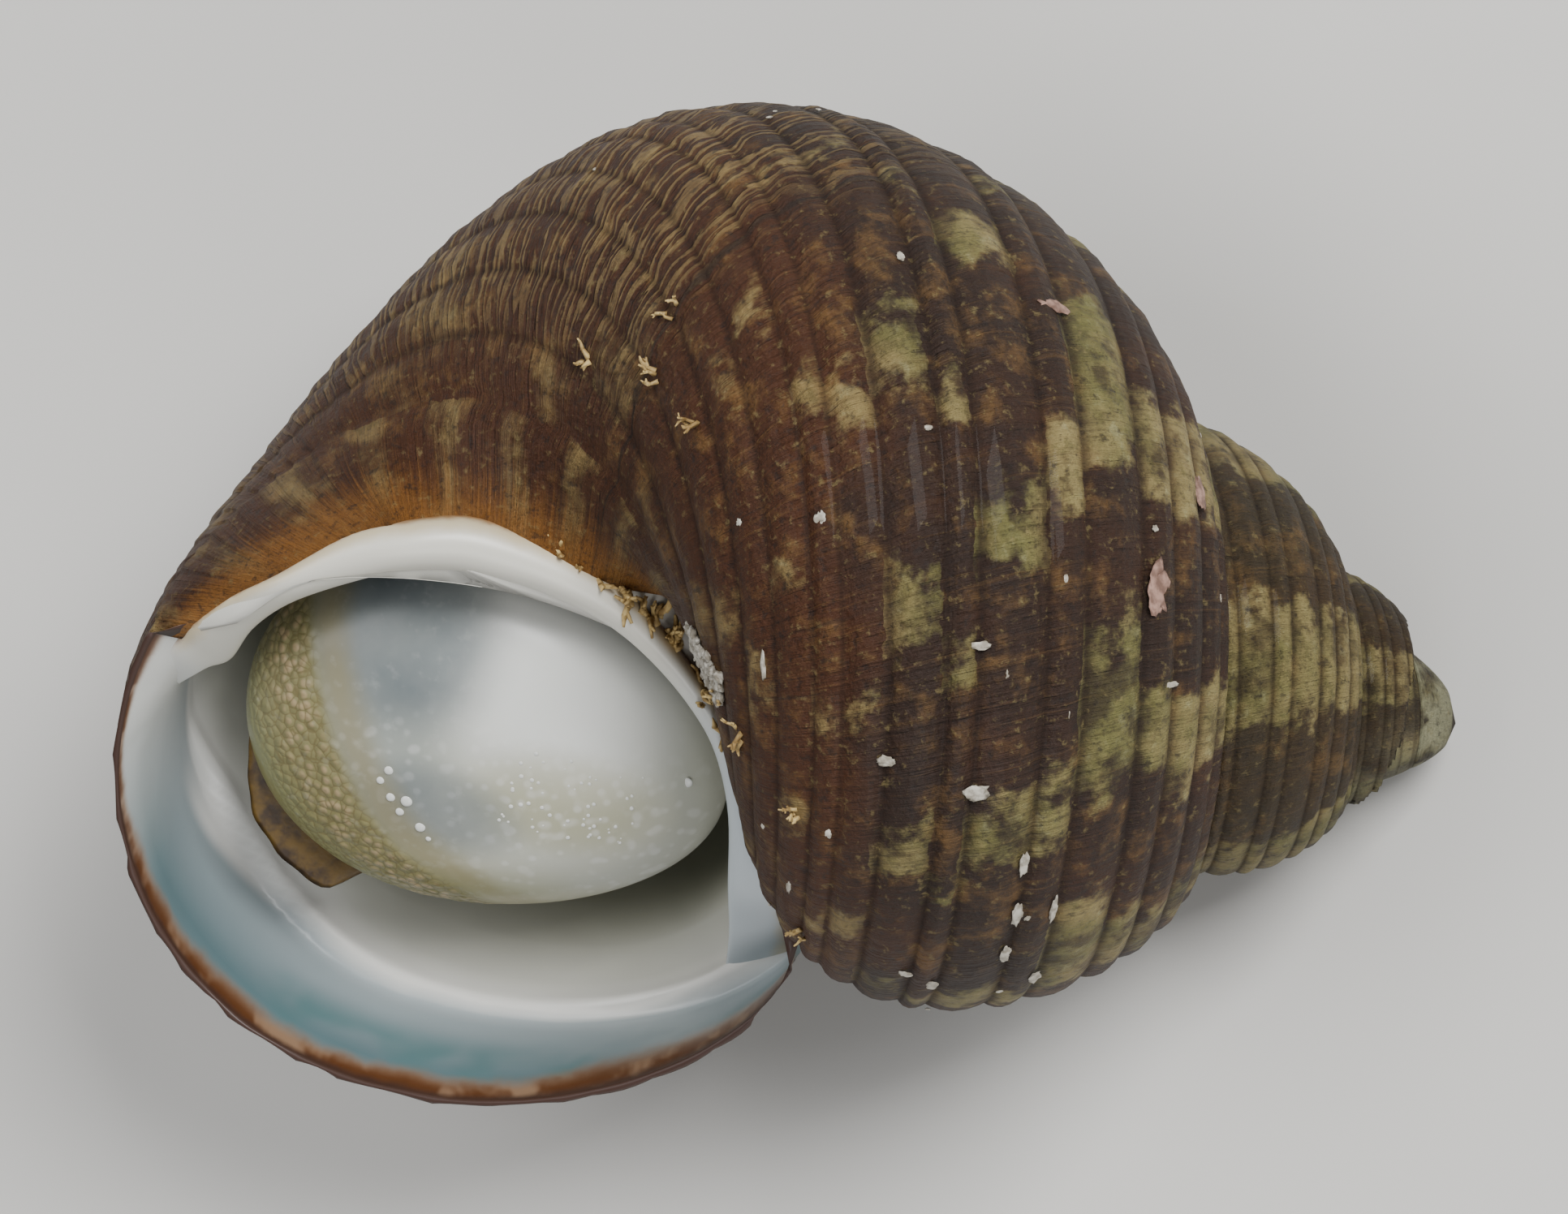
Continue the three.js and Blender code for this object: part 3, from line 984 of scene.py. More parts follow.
@dataclass
class InnerLip:
    """The smooth white roll of the columella and the callus, from the front of the lip to its corner."""

    stations: tuple[Station, ...] = (
        Station((4.71, -7.35, 39.12), (-0.22, 0.75, 0.42), 0.05),
        Station((4.24, -6.60, 38.94), (-0.33, 0.60, 0.54), 0.20),
        Station((3.88, -6.05, 38.68), (-0.38, 0.55, 0.59), 0.32),
        Station((3.44, -5.30, 38.32), (-0.47, 0.90, 0.78), 0.55),
        Station((2.43, -3.70, 37.81), (-0.44, 0.50, 0.49), 0.70),
        Station((1.54, -2.35, 36.90), (-0.38, 0.25, 0.36), 0.80),
        Station((0.32, -1.30, 35.20), (-0.68, 0.10, 0.25), 0.90),
        Station((-0.23, -0.80, 33.84), (-0.76, 0.05, 0.07), 1.00),
        Station((-0.59, -0.58, 32.16), (-0.85, 0.03, -0.10), 1.05),
        Station((-0.46, -0.45, 30.57), (-0.78, 0.0, -0.24), 1.0),
        Station((-0.07, -0.45, 28.91), (-0.61, 0.0, -0.39), 0.95),
        Station((0.60, -0.60, 27.16), (-0.47, 0.0, -0.42), 0.9),
        Station((1.57, -0.70, 25.78), (-0.30, 0.0, -0.36), 0.8),
        Station((2.87, -1.10, 24.27), (-0.13, 0.0, -0.41), 0.75),
        Station((4.28, -1.40, 23.11), (-0.01, 0.0, -0.44), 0.7),
        Station((5.98, -1.65, 22.31), (-0.11, 0.10, -0.44), 0.60),
        Station((7.96, -2.35, 21.47), (-0.29, 0.55, -0.69), 0.50),
        Station((9.26, -3.80, 20.62), (-0.45, 1.10, -0.85), 0.40),
        Station((10.61, -6.45, 20.13), (-0.41, 0.55, -0.82), 0.20),
    )
    sides: int = 28
    rings: int = 110
    sight: tuple[float, float, float] = (0.0, 0.98, 0.2)
    border_half: float = 0.85
    border_depth: float = 0.5

    def section(self, share: float) -> tuple[Vector, Vector, Vector]:
        """Follows the roll's section along its length.

        Args:
            share: The share of the length.

        Returns:
            The middle, the half breadth and the half depth there.
        """
        flat = [(*s.middle, *s.half, s.depth) for s in self.stations]
        values = spline(flat, share)
        return Vector(values[:3]), Vector(values[3:6]), Vector(self.sight) * values[6]

    def edge(self, share: float) -> Vector:
        """Gives a point on the upper outer edge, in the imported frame."""
        return TO_FRAME @ self.border(share)

    def border(self, share: float) -> Vector:
        """Gives a point where the skin meets the roll, in the shell's frame."""
        middle, half, depth = self.section(share)
        return middle + half * self.border_half + depth * self.border_depth

    def build(self) -> bpy.types.Object:
        """Builds and dresses the roll.

        Returns:
            The object, riding on the part.
        """
        bm = bmesh.new()
        sections = [self.section(ring / self.rings) for ring in range(self.rings + 1)]
        sweep(bm, sections, self.sides, TO_FRAME)
        return add_piece("inner_lip", bm, [CallusFinish().make()])


@dataclass
class Shell:
    """The shell itself: its outside wound from the tip to the lip, and the hollow behind the lip."""

    growth: Growth
    lip: InnerLip
    whorls: int = 4
    steps: int = 180
    cord_height: float = 0.08
    base_start: float = 2.0
    base_relief: float = 0.65
    broad_cord: float = 0.19
    cord_square: float = 1.9
    broad_shares: tuple[float, ...] = (0.0, 0.06, 0.15, 0.3, 0.5, 0.7, 0.85, 0.94)
    narrow_shares: tuple[float, ...] = (0.0, 0.12, 0.3, 0.5, 0.7, 0.88)
    base_points: tuple[tuple[float, float], ...] = (
        (5.96, 39.23), (5.1, 39.4), (3.2, 39.1), (1.5, 38.9), (0.0, 38.7),
    )
    base_rows: int = 9
    lamella_depth: float = 0.07
    lamella_turn: float = 5.2
    late_start: float = -185.0
    late_ease: float = 30.0
    pause_turn: float = -172.0
    pause_width: float = 1.8
    hollow_radius: float = 9.35
    hollow_height: float = 29.1
    hollow_half_width: float = 8.35
    hollow_half_height: float = 8.9
    hollow_back: float = -300.0
    flare_turns: tuple[float, ...] = (-0.5, -1.2, -2.2, -3.6, -5.5, -7.5, -9.5, -11.2, -12.4)
    ledge_rings: int = 20
    ledge_step: float = 0.55
    ledge_turn: float = -14.4
    ledge_sweep: float = 5.5
    sweep_start: float = 0.31
    sweep_reach: float = 0.2
    ledge_wave: float = 0.9
    ledge_bead: float = 0.22
    bead_width: float = 1.2
    ledge_width: float = 1.5
    ledge_share: float = 0.3
    flare_depth: float = 13.0
    back_step: float = 7.0
    lip_thickness: float = 0.2
    lip_swell: float = 0.22
    swell_turn: float = 5.0
    front_thickness: float = 0.15
    front_start: float = 1.3
    front_reach: float = 0.8
    shoulder_start: float = 2.1
    shoulder_reach: float = 1.0
    shoulder_share: float = 1.45
    shoulder_depth: float = 22.0
    shoulder_front: float = 8.0
    shoulder_ease: float = 0.7
    lip_first: float = 0.12
    lip_round: float = 0.5
    inner_front: float = 0.875
    inner_span: float = 0.8
    inner_stretch: float = 1.02
    tip_radius: float = 0.3
    tip_mark: float = 0.35
    border_places: tuple[tuple[float, float], ...] = (
        (0.0, 2.0), (-5.0, 3.0), (-10.0, 3.7), (-20.0, 4.4), (-30.0, 4.9),
        (-60.0, 5.3), (-90.0, 6.0), (-120.0, 6.9), (-150.0, 7.6),
    )
    border_start: float = -150.0
    border_ease: float = 40.0
    border_swell: float = 0.35
    swell_way: tuple[float, float, float] = (0.0, 0.3, 0.95)
    swell_span: float = 3.0
    body_relief: float = 0.85
    late_relief: float = 0.45
    flat_start: float = -190.0
    flat_ease: float = 50.0
    flat_from: float = 0.9
    flat_reach: float = 0.5
    lip_wave: float = math.radians(1.1)
    wave_turn: float = math.radians(9)
    corner: tuple[float, float] = (9.6, 17.45)
    inner_lip: tuple[tuple[float, float], ...] = (
        (3.9, 36.9), (0.9, 34.7), (0.0, 29.0), (1.2, 23.4),
        (3.4, 19.8), (5.9, 19.0), (8.4, 17.9), (9.5, 17.5),
    )

    def rows(self) -> list[Row]:
        """Makes the rows of the skin.

        Returns:
            The rows, from the suture to the axis.
        """
        growth = self.growth
        grooves = [cord.start for cord in CORDS]
        rows = [growth.row(0.0, 0.0, 0.0), growth.row(grooves[1] / 2, -growth.groove_depth / 2, 0.3)]
        for start, end in zip(grooves[1:], grooves[2:]):
            strength = self.base_relief if start > self.base_start else 1.0
            for share in self.broad_shares if end - start > self.broad_cord else self.narrow_shares:
                crest = 1 - abs(2 * share - 1) ** self.cord_square
                lift = lerp(-growth.groove_depth, self.cord_height, crest) * strength
                rows.append(growth.row(start + share * (end - start), lift, crest))
        lag = growth.lag(math.pi)
        for number in range(self.base_rows):
            r, z = spline(list(self.base_points), number / (self.base_rows - 1))
            angle = math.pi * (1 + BASE_SPAN * number / self.base_rows)
            rows.append(Row(angle, max(r, 0.0), z, (0.0, 1.0), 0.0, 1.0, lag))
        return rows

    def lamellae(self, turn: float, angle: float) -> float:
        """Works out the relief of the growth lines.

        Args:
            turn: The turn of growth.
            angle: The angle round the section.

        Returns:
            The relief there.
        """
        degrees = math.degrees(turn)
        late = smooth((degrees - self.late_start) / self.late_ease)
        uneven = 0.4 * noise.noise(Vector((degrees * 0.11, angle, 0.0)))
        saw = (degrees / self.lamella_turn + uneven) % 1.0
        rough = noise.noise(Vector((degrees * 0.2, angle * 2.2, 3.0)))
        past = (degrees - self.pause_turn + 3 * math.sin(angle * 3)) / self.pause_width
        pause = -1.6 * math.exp(-past ** 2) * smooth((angle - 1.3) / 0.4)
        return self.lamella_depth * (late * (saw - 0.5) * 1.3 + rough + pause)

    def flatness(self, turn: float, angle: float) -> float:
        """Works out how much of a cord's relief is lost.

        Args:
            turn: The turn of growth.
            angle: The angle round the section.

        Returns:
            The share that is lost.
        """
        late = smooth((math.degrees(turn) - self.flat_start) / self.flat_ease)
        low = smooth((angle - self.flat_from) / self.flat_reach)
        return 1 - lerp(self.body_relief, self.late_relief, late * low)

    def wind(self, bm: bmesh.types.BMesh, rows: list[Row], mouth_row: int) -> tuple[list[list], dict, dict]:
        """Winds the outside from the tip to the lip.

        Args:
            bm: The mesh.
            rows: The rows of the skin.
            mouth_row: The row that the last whorl is laid against at the mouth.

        Returns:
            The vertices of each ring, the map of each vertex, and the vertices to weld to others.
        """
        growth = self.growth
        relief = bm.verts.layers.float.new(RELIEF)
        rings = self.whorls * self.steps
        last_start = rings - self.steps
        grid: list[list] = []
        marks: dict = {}
        welds: dict = {}
        seams: list = []
        line = self.first_line(bm, mouth_row + 1)
        for ring in range(rings + 1):
            turn = (ring - rings) * TURN / self.steps
            slant = smooth(1 + turn / growth.slant_turn)
            if ring:
                line, _ = extrude_line(bm, line)
            if ring == last_start:
                line = self.lengthen(bm, line, len(rows))
            seam_angle = growth.seam_angle(turn) if ring < last_start else math.inf
            seam = None
            for number, (vertex, row) in enumerate(zip(line, rows)):
                about = turn - row.lag * slant
                marks[vertex] = ((about + row.lag) / TURN, row.angle / math.pi)
                vertex[relief] = row.crest
                if number == 0 and ring >= self.steps:
                    vertex.co = seams[ring - self.steps].co
                    welds[vertex] = seams[ring - self.steps]
                elif row.angle >= seam_angle:
                    vertex.co = TO_FRAME @ growth.around(growth.seam(turn), turn)
                    vertex[relief] = 0.0
                    if seam is None:
                        seam = vertex
                    else:
                        welds[vertex] = seam
                else:
                    stage = about + row.lag
                    extra = self.lamellae(stage, row.angle) * clamp(row.angle * 4)
                    extra -= row.lift * self.flatness(stage, row.angle)
                    vertex.co = TO_FRAME @ growth.skin(row, about + self.wave(row.lag, turn), extra)
            if ring > last_start:
                self.meet_lip(line[-self.base_rows:], turn)
            seams.append(seam or line[mouth_row])
            grid.append(line)
        return grid, marks, welds

    def wave(self, lag: float, turn: float) -> float:
        """Gives the unevenness of the lip's edge."""
        broad, narrow = (noise.noise(Vector((lag * rate, rate, 0.0))) for rate in (7.0, 26.0))
        return self.lip_wave * (broad + 0.35 * narrow) * smooth(1 + turn / self.wave_turn)

    def meet_lip(self, line: list[bmesh.types.BMVert], turn: float) -> None:
        """Draws the base in to the roll of the inner lip.

        Args:
            line: The vertices of the base on one ring, from its outer side to the axis.
            turn: The ring's turn of growth.
        """
        degrees = math.degrees(turn)
        near = smooth((degrees - self.border_start) / self.border_ease)
        if near == 0:
            return
        turns, places = zip(*self.border_places[::-1])
        index = next((k for k in range(len(turns) - 1) if degrees <= turns[k + 1]), len(turns) - 2)
        share = clamp((degrees - turns[index]) / (turns[index + 1] - turns[index]))
        place = lerp(places[index], places[index + 1], share) / (len(self.lip.stations) - 1)
        border = TO_FRAME @ self.lip.border(place)
        start = line[0].co.copy()
        swell = TO_FRAME.to_3x3() @ Vector(self.swell_way) * self.border_swell
        swell *= min(1.0, (border - start).length / (self.swell_span * MM))
        for number, vertex in enumerate(line):
            share = number / (len(line) - 1)
            drawn = start.lerp(border, share) + swell * math.sin(math.pi * share)
            vertex.co = vertex.co.lerp(drawn, near)

    @staticmethod
    def first_line(bm: bmesh.types.BMesh, count: int) -> list[bmesh.types.BMVert]:
        """Starts the winding with a cut edge.

        Args:
            bm: The mesh.
            count: The number of vertices.

        Returns:
            The vertices in order.
        """
        ends = [bm.verts.new((x, 0.0, 0.0)) for x in (0.0, 1.0)]
        edge = bm.edges.new(ends)
        bmesh.ops.subdivide_edges(bm, edges=[edge], cuts=count - 2)
        return sorted(bm.verts, key=lambda vertex: vertex.co.x)

    @staticmethod
    def lengthen(
        bm: bmesh.types.BMesh, line: list[bmesh.types.BMVert], count: int
    ) -> list[bmesh.types.BMVert]:
        """Adds vertices to the end of a line.

        Args:
            bm: The mesh.
            line: The vertices in order.
            count: The number that is wanted.

        Returns:
            The longer line.
        """
        while len(line) < count:
            made = bmesh.ops.extrude_vert_indiv(bm, verts=[line[-1]])
            line.append(made["verts"][0])
        return line

    def inner_share(self, share: float) -> tuple[float, float, float, float]:
        """Gives a point of the inner lip from front to corner, how far it trails, and no shoulder."""
        r, z = spline(list(self.inner_lip), share)
        return r, z, self.growth.lag(math.pi * (self.inner_front - self.inner_span * share)), 0.0

    def outer_rim(self, row: Row) -> tuple[float, float, float, float]:
        """Finds a point just inside the outer lip.

        Args:
            row: The row of the skin.

        Returns:
            Its two distances, how far it trails, and its shoulder at the front.
        """
        angle = min(max(row.angle, self.lip_first), math.pi)
        front = smooth((angle - self.front_start) / self.front_reach)
        shoulder = smooth((angle - self.shoulder_start) / self.shoulder_reach)
        thickness = lerp(self.lip_thickness, self.front_thickness, front)
        inside = self.growth.row(angle)
        r, z = inside.r - inside.outward[0] * thickness, inside.z - inside.outward[1] * thickness
        if row.angle < self.lip_first:
            share = row.angle / self.lip_first
            r, z = lerp(self.corner[0], r, share), lerp(self.corner[1], z, share)
        if row.angle > math.pi:
            share = (row.angle / math.pi - 1) / BASE_SPAN
            r, z = lerp(r, self.inner_lip[0][0], share), lerp(z, self.inner_lip[0][1], share)
            shoulder *= 1 - share
        return r, z, row.lag, shoulder

    def hollow_point(self, rim: tuple[float, float, float, float], degrees: float) -> Vector:
        """Finds a point of the hollow, wide at the lip and an oval tube behind.

        Args:
            rim: The point of the rim, how far it trails, and its shoulder.
            degrees: The turn of growth.

        Returns:
            The point.
        """
        r, z, lag, shoulder = rim
        turn = math.radians(degrees)
        across = (r - self.hollow_radius) / self.hollow_half_width
        along = (z - self.hollow_height) / self.hollow_half_height
        reach = math.hypot(across, along)
        swept = self.ledge_sweep * smooth((lag - self.sweep_start) / self.sweep_reach)
        past = self.ledge_turn - swept - degrees
        past += self.ledge_wave * noise.noise(Vector((lag * 9.0, 4.0, 0.0)))
        bead = math.exp(-((past - self.ledge_width) / self.bead_width) ** 2)
        ledge = smooth(past / self.ledge_width) + self.ledge_bead * bead
        narrow = self.ledge_share * ledge + (1 - self.ledge_share) * smooth(past / self.flare_depth)
        deep = lerp(self.shoulder_depth, self.shoulder_front, shoulder * shoulder)
        narrow = max(narrow, self.shoulder_share * shoulder * smooth(-degrees / deep) ** self.shoulder_ease)
        swell = self.lip_swell * smooth(-degrees / self.swell_turn) * (1 - narrow) / reach
        r = lerp(r, self.hollow_radius + self.hollow_half_width * across / reach, narrow) - swell * across
        z = lerp(z, self.hollow_height + self.hollow_half_height * along / reach, narrow) - swell * along
        row = Row(0.0, r, z, (0.0, 0.0), 0.0, 1.0, lag)
        return self.growth.around(self.growth.grown(row, turn), turn - lag + self.wave(lag, turn))

    def mouth(
        self, bm: bmesh.types.BMesh, loop: list, rims: list[tuple], places: list[float], uv: Any
    ) -> None:
        """Turns the lip in and carries the hollow back from it.

        Args:
            bm: The mesh.
            loop: The vertices round the mouth.
            rims: The point of the rim behind each of them.
            places: The place of each of them round the mouth, for the map.
            uv: The layer of the map.
        """
        marks = {vertex: (0.0, place) for vertex, place in zip(loop, places)}
        turns = [self.lip_round, 0.0, *self.flare_turns]
        turns += [turns[-1] - self.ledge_step * (number + 1) for number in range(self.ledge_rings)]
        while turns[-1] > self.hollow_back:
            turns.append(turns[-1] - self.back_step)
        relief = bm.verts.layers.float[RELIEF]
        for number, degrees in enumerate(turns):
            following, faces = extrude_line(bm, loop, True)
            share = 1.0 if number else 0.5
            for old, vertex, rim, place in zip(loop, following, rims, places):
                vertex.co = old.co.lerp(TO_FRAME @ self.hollow_point(rim, degrees * share), share)
                vertex[relief] = 1.0
                marks[vertex] = (min(degrees, 0.0) / 360, place)
            self.map_faces(faces, marks, uv, 1)
            loop = following
        middle = sum((vertex.co for vertex in loop), Vector()) / len(loop)
        for face in cap(bm, loop, middle):
            face.material_index = 1

    @staticmethod
    def map_faces(faces: Iterable, marks: dict, uv: Any, finish: int) -> None:
        """Writes the map of faces and their finish.

        Args:
            faces: The faces.
            marks: The map of each vertex.
            uv: The layer of the map.
            finish: The number of the finish.
        """
        for face in faces:
            face.material_index = finish
            values = [marks.get(corner.vert, (0.0, 0.0)) for corner in face.loops]
            wraps = finish == 1 and max(v for _, v in values) - min(v for _, v in values) > 0.5
            for corner, (u, v) in zip(face.loops, values):
                corner[uv].uv = (u, v + 1 if wraps and v < 0.5 else v)

    def build(self) -> bpy.types.Object:
        """Builds and dresses the shell.

        Returns:
            The object, riding on the part.
        """
        bm = bmesh.new()
        rows = self.rows()
        mouth_row = next(k for k, row in enumerate(rows) if math.isclose(row.angle, self.growth.mouth_groove))
        grid, marks, welds = self.wind(bm, rows, mouth_row)
        uv = bm.loops.layers.uv.new(GROWTH_MAP)
        self.map_faces(bm.faces, marks, uv, 0)
        bmesh.ops.weld_verts(bm, targetmap=welds)

        tip_loop = [ring[0] for ring in grid[:self.steps]]
        first = [vertex for vertex in grid[0][1:] if vertex.is_valid]
        tip = TO_FRAME @ Vector((0.0, 0.0, self.growth.worn(self.tip_radius, 0.0)))
        start = (-float(self.whorls), self.tip_mark)
        self.map_faces(cap(bm, tip_loop + first[::-1], tip), {v: start for v in tip_loop + first}, uv, 0)

        last, end = len(grid) - 1, len(rows) - 1
        start_ring = grid[last - self.steps]
        inner = [ring[end] for ring in grid[last - 1:last - self.steps - 1:-1]]
        inner += start_ring[end - 1:mouth_row:-1]
        loop = [start_ring[mouth_row], *grid[last][1:], *inner]
        walked = [0.0]
        for before, after in zip([grid[last][end], *inner], inner):
            walked.append(walked[-1] + (after.co - before.co).length)
        shares = [distance / (walked[-1] * self.inner_stretch) for distance in walked[1:]]
        rims = [self.outer_rim(row) for row in rows] + [self.inner_share(share) for share in shares]
        full_round = 2 * (1 + BASE_SPAN) * math.pi
        places = [row.angle / full_round for row in rows] + [0.5 + 0.5 * share for share in shares]
        self.mouth(bm, loop, rims, places, uv)

        bmesh.ops.dissolve_degenerate(bm, edges=bm.edges, dist=1e-7)
        bmesh.ops.recalc_face_normals(bm, faces=bm.faces)
        for vertex in bm.verts:
            vertex.co.z = max(vertex.co.z, 0.0)
        piece = add_piece("turban_shell", bm, [SkinFinish().make(), NacreFinish().make()])
        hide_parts("shell")
        return piece


@dataclass
class Operculum:
    """The limy plug in the mouth: an egg-shaped dome with a pebbled end."""

    length: float = 14.8
    width: float = 11.6
    egg: float = 0.16
    profile: tuple[tuple[float, float], ...] = (
        (0.0, 2.85), (0.28, 2.75), (0.55, 2.4), (0.78, 1.75), (0.93, 0.95),
        (1.0, 0.15), (0.98, -0.3), (0.86, -0.75), (0.0, -0.9),
    )
    place: tuple[float, float, float] = (5.0, -6.6, 29.4)
    turn: float = math.radians(59)
    lift: float = math.radians(14)
    segments: int = 240
    rings: int = 120
    cobble_size: float = 0.34
    cobble_height: float = 0.05
    cobble_joint: float = 0.45
    granules: int = 60
    pustules: tuple[tuple[float, float, float], ...] = (
        (0.33, 0.08, 0.15), (0.35, 0.15, 0.13), (0.30, 0.23, 0.15), (0.23, 0.22, 0.19),
        (0.25, 0.30, 0.14), (0.15, 0.35, 0.17), (0.11, 0.42, 0.09), (-0.83, -0.24, 0.17),
    )
    skirt_angles: tuple[float, float] = (math.radians(8), math.radians(72))
    skirt_steps: int = 40
    skirt_sides: int = 12
    skirt_least: float = 0.08
    skirt_breadth: float = 1.25
    skirt_rise: float = 0.5
    skirt_depth: float = 0.12
    granule_seed: int = 5
    granule_mark: tuple[float, float] = (-0.1, -0.4)

    def matrix(self) -> Matrix:
        """Carries the operculum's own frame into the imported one.

        Returns:
            The matrix.
        """
        facing = Vector((math.cos(self.turn), math.sin(self.turn), math.tan(self.lift))).normalized()
        axis = Vector((0.0, 0.0, 1.0))
        length = (axis - facing * facing.dot(axis)).normalized()
        turned = Matrix((length, facing.cross(length), facing)).transposed().to_4x4()
        return TO_FRAME @ Matrix.Translation(Vector(self.place)) @ turned

    def surface(self, polar: float, angle: float) -> tuple[Vector, tuple[float, float]]:
        """Gives a point of the dome and its place seen from the front.

        Args:
            polar: The way down from the top, from 0 to 1.
            angle: The angle about the dome's middle.

        Returns:
            The point in the dome's frame, and its two coordinates from -1 to 1.
        """
        share, height = spline(list(self.profile), polar)
        x, y = share * math.cos(angle), share * math.sin(angle)
        place = Vector((x * self.length / 2, y * (1 + self.egg * x) * self.width / 2, height))
        return place, (x, y)

    def cobble(self, place: Vector, x: float, y: float) -> float:
        """Works out the height of the pebbles.

        Args:
            place: The place in the dome's frame.
            x: The place seen from the front, along.
            y: The same, across.

        Returns:
            The height there.
        """
        reach = BAND.reach(x, y)
        (first, full), (last, fading) = BAND.near_edge, BAND.far_edge
        band = smooth((reach - first) / (full - first)) * smooth((last - reach) / (last - fading))
        near, after = noise.voronoi(place / self.cobble_size)[0][:2]
        return band * self.cobble_height * smooth((after - near) / self.cobble_joint)

    def build(self) -> bpy.types.Object:
        """Builds and dresses the dome with its white granules.

        Returns:
            The object, riding on the part.
        """
        bm = bmesh.new()
        uv = bm.loops.layers.uv.new(PLACE_MAP)
        bmesh.ops.create_uvsphere(bm, u_segments=self.segments, v_segments=self.rings, radius=1.0)
        marks: dict = {}
        matrix = self.matrix()
        for vertex in bm.verts:
            polar = math.acos(max(-1.0, min(1.0, vertex.co.z))) / math.pi
            place, mark = self.surface(polar, math.atan2(vertex.co.y, vertex.co.x))
            place.z += self.cobble(place, *mark)
            vertex.co = matrix @ place
            marks[vertex] = mark
        for face in bm.faces:
            for corner in face.loops:
                corner[uv].uv = marks[corner.vert]
        self.add_granules(bm, matrix, uv)
        bmesh.ops.recalc_face_normals(bm, faces=bm.faces)
        piece = add_piece("operculum_dome", bm, [OperculumFinish().make()])
        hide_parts("operculum")
        return piece

    def add_granules(self, bm: bmesh.types.BMesh, matrix: Matrix, uv: Any) -> None:
        """Sets small white granules and a clear drop on the dome.

        Args:
            bm: The mesh.
            matrix: What carries the dome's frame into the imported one.
            uv: The layer of the map.
        """
        draw = random.Random(self.granule_seed)
        spots = list(self.pustules)
        for _ in range(self.granules):
            spots.append((draw.uniform(-0.66, -0.14), draw.uniform(-0.28, 0.2), draw.uniform(0.03, 0.08)))
        for x, y, size in spots:
            share = math.hypot(x, y)
            polar = next(k / 200 for k in range(200) if spline(list(self.profile), k / 200)[0] >= share)
            place, _ = self.surface(polar, math.atan2(y, x))
            spot = matrix @ Matrix.Translation(place) @ Matrix.Diagonal((size, size, size * 0.3, 1.0))
            for vertex in bmesh.ops.create_icosphere(bm, subdivisions=2, radius=1.0, matrix=spot)["verts"]:
                for corner in vertex.link_loops:
                    corner[uv].uv = self.granule_mark

    def build_skirt(self) -> bpy.types.Object:
        """Builds the strip of brown horn that shows below the dome's edge.

        Returns:
            The object, riding on the part.
        """
        sections = []
        raised, depth = Vector((0.0, 0.0, 0.1)), Vector((0.0, 0.0, self.skirt_depth))
        for number in range(self.skirt_steps + 1):
            share = number / self.skirt_steps
            angle = lerp(*self.skirt_angles, share)
            x, y = math.cos(angle), math.sin(angle)
            rim = Vector((x * self.length / 2, y * (1 + self.egg * x) * self.width / 2, 0.0))
            out = Vector((x, y, self.skirt_rise)).normalized()
            breadth = self.skirt_least + self.skirt_breadth * smooth(share / 0.7) * smooth((1 - share) / 0.12)
            uneven = 1 + 0.12 * noise.noise(Vector((share * 9, 2.0, 0.0)))
            sections.append((rim * 0.96 + raised, out * breadth * uneven, depth))
        bm = bmesh.new()
        sweep(bm, sections, self.skirt_sides, self.matrix())
        finish = PlainFinish("horn", "5a4310", "2e1d06", 1500.0, 0.5).make()
        return add_piece("horn_skirt", bm, [finish])


class Growing(Enum):
    """The kinds of growths on the shell."""

    TUFT = "tufts"
    CRUST = "crust"
    FLECK = "flecks"
    PINK = "pink_crust"


